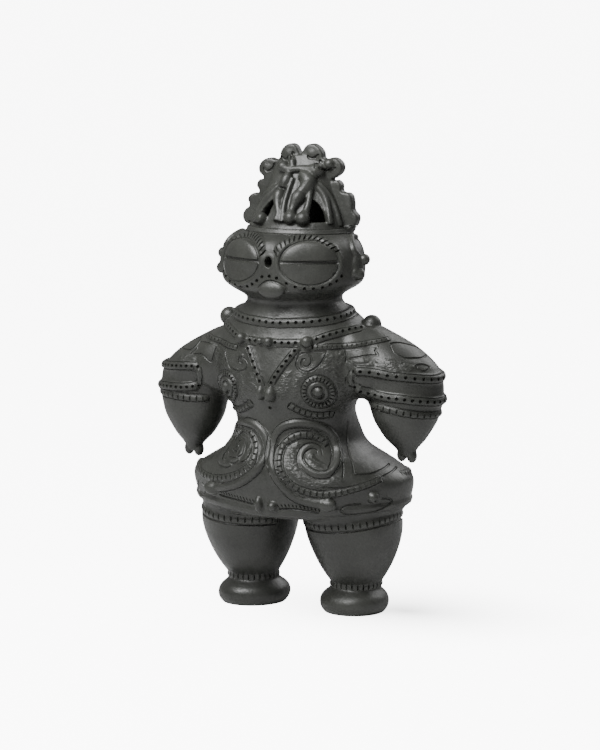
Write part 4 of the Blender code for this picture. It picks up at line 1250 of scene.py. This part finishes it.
bpy.ops.object.select_all(action="DESELECT")
bpy.ops.mesh.primitive_plane_add(size=40.0, location=(0, 0, 0))
floor = bpy.context.object
floor.name = "floor"
paper = bpy.data.materials.new("pale_paper")
paper.use_nodes = True
nodes, links = paper.node_tree.nodes, paper.node_tree.links
sheet = nodes["Principled BSDF"]
sheet.inputs["Base Color"].default_value = (PAPER_WHITE, PAPER_WHITE, PAPER_WHITE, 1.0)
sheet.inputs["Roughness"].default_value = PAPER_DULLNESS
sheet.inputs["Emission Color"].default_value = (1.0, 1.0, 1.0, 1.0)
seen = nodes.new("ShaderNodeLightPath")
glow = nodes.new("ShaderNodeMath")
glow.operation = "MULTIPLY"
# Painted shadow: the glow the camera sees is dimmed in a soft round patch beside the feet, down to a share of
# its strength at the middle.
spot = nodes.new("ShaderNodeTexCoord")
painted_shadow_place = nodes.new("ShaderNodeMapping")
painted_shadow_place.vector_type = "TEXTURE"
painted_shadow_place.inputs["Location"].default_value = PAINTED_SHADOW_AT
painted_shadow_place.inputs["Scale"].default_value = PAINTED_SHADOW_REACH
painted_shadow = nodes.new("ShaderNodeTexGradient")
painted_shadow.gradient_type = "QUADRATIC_SPHERE"
glow_with_painted_shadow = nodes.new("ShaderNodeMapRange")
glow_with_painted_shadow.inputs["To Min"].default_value = PAPER_GLOW
glow_with_painted_shadow.inputs["To Max"].default_value = PAPER_GLOW * PAINTED_SHADOW_SHARE
links.new(spot.outputs["Object"], painted_shadow_place.inputs["Vector"])
links.new(painted_shadow_place.outputs["Vector"], painted_shadow.inputs["Vector"])
links.new(painted_shadow.outputs["Fac"], glow_with_painted_shadow.inputs["Value"])
links.new(seen.outputs["Is Camera Ray"], glow.inputs[0])
links.new(glow_with_painted_shadow.outputs["Result"], glow.inputs[1])
links.new(glow.outputs[0], sheet.inputs["Emission Strength"])
floor.data.materials.append(paper)

# Light.
# A bright white room, with a soft lamp close above in front and a weaker one behind.
KEY_AT = Vector((-0.12, -0.42, 0.64))
KEY_SIZE = 0.42
KEY_POWER = 10.0
BACK_AT = Vector((0.35, 0.95, 0.85))
BACK_SIZE = 0.9
BACK_POWER = 7.0
AIMED_AT = Vector((0, 0, 0.12))
ROOM_LIGHT = 0.245
ROOM_SEEN = 8.8

world = bpy.data.worlds.new("studio")
bpy.context.scene.world = world
world.use_nodes = True
nodes, links = world.node_tree.nodes, world.node_tree.links
nodes["Background"].inputs["Color"].default_value = (1.0, 1.0, 1.0, 1.0)
seen = nodes.new("ShaderNodeLightPath")
room = nodes.new("ShaderNodeMapRange")
room.inputs["To Min"].default_value = ROOM_LIGHT
room.inputs["To Max"].default_value = ROOM_SEEN
links.new(seen.outputs["Is Camera Ray"], room.inputs["Value"])
links.new(room.outputs["Result"], nodes["Background"].inputs["Strength"])
for name, place, size, power in (
    ("key", KEY_AT, KEY_SIZE, KEY_POWER), ("back", BACK_AT, BACK_SIZE, BACK_POWER),
):
    bpy.ops.object.light_add(type="AREA", location=place)
    lamp = bpy.context.object
    lamp.name = name
    lamp.data.shape = "SQUARE"
    lamp.data.size = size
    lamp.data.energy = power
    lamp.rotation_euler = (AIMED_AT - place).to_track_quat("-Z", "Y").to_euler()

# Camera.
# A long lens a step and a half away, a little to the figure's left and above it, as for a table-top picture.
CAMERA_TURN = math.radians(26)
CAMERA_RISE = math.radians(8)
CAMERA_AWAY = 1.7
CAMERA_LENS = 158.4
CAMERA_SENSOR = 36.0
LOOKED_AT = Vector((0, -0.001, 0.12))
CAMERA_RIGHT = -0.00103
CAMERA_UP = 0.00098

level = math.cos(CAMERA_RISE)
back = Vector((math.sin(CAMERA_TURN) * level, -math.cos(CAMERA_TURN) * level, math.sin(CAMERA_RISE)))
right = Vector((math.cos(CAMERA_TURN), math.sin(CAMERA_TURN), 0))
target = LOOKED_AT + right * CAMERA_RIGHT + back.cross(right) * CAMERA_UP
bpy.ops.object.camera_add(location=target + back * CAMERA_AWAY)
camera = bpy.context.object
camera.rotation_euler = (-back).to_track_quat("-Z", "Y").to_euler()
camera.data.sensor_width = CAMERA_SENSOR
camera.data.lens = CAMERA_LENS
bpy.context.scene.camera = camera
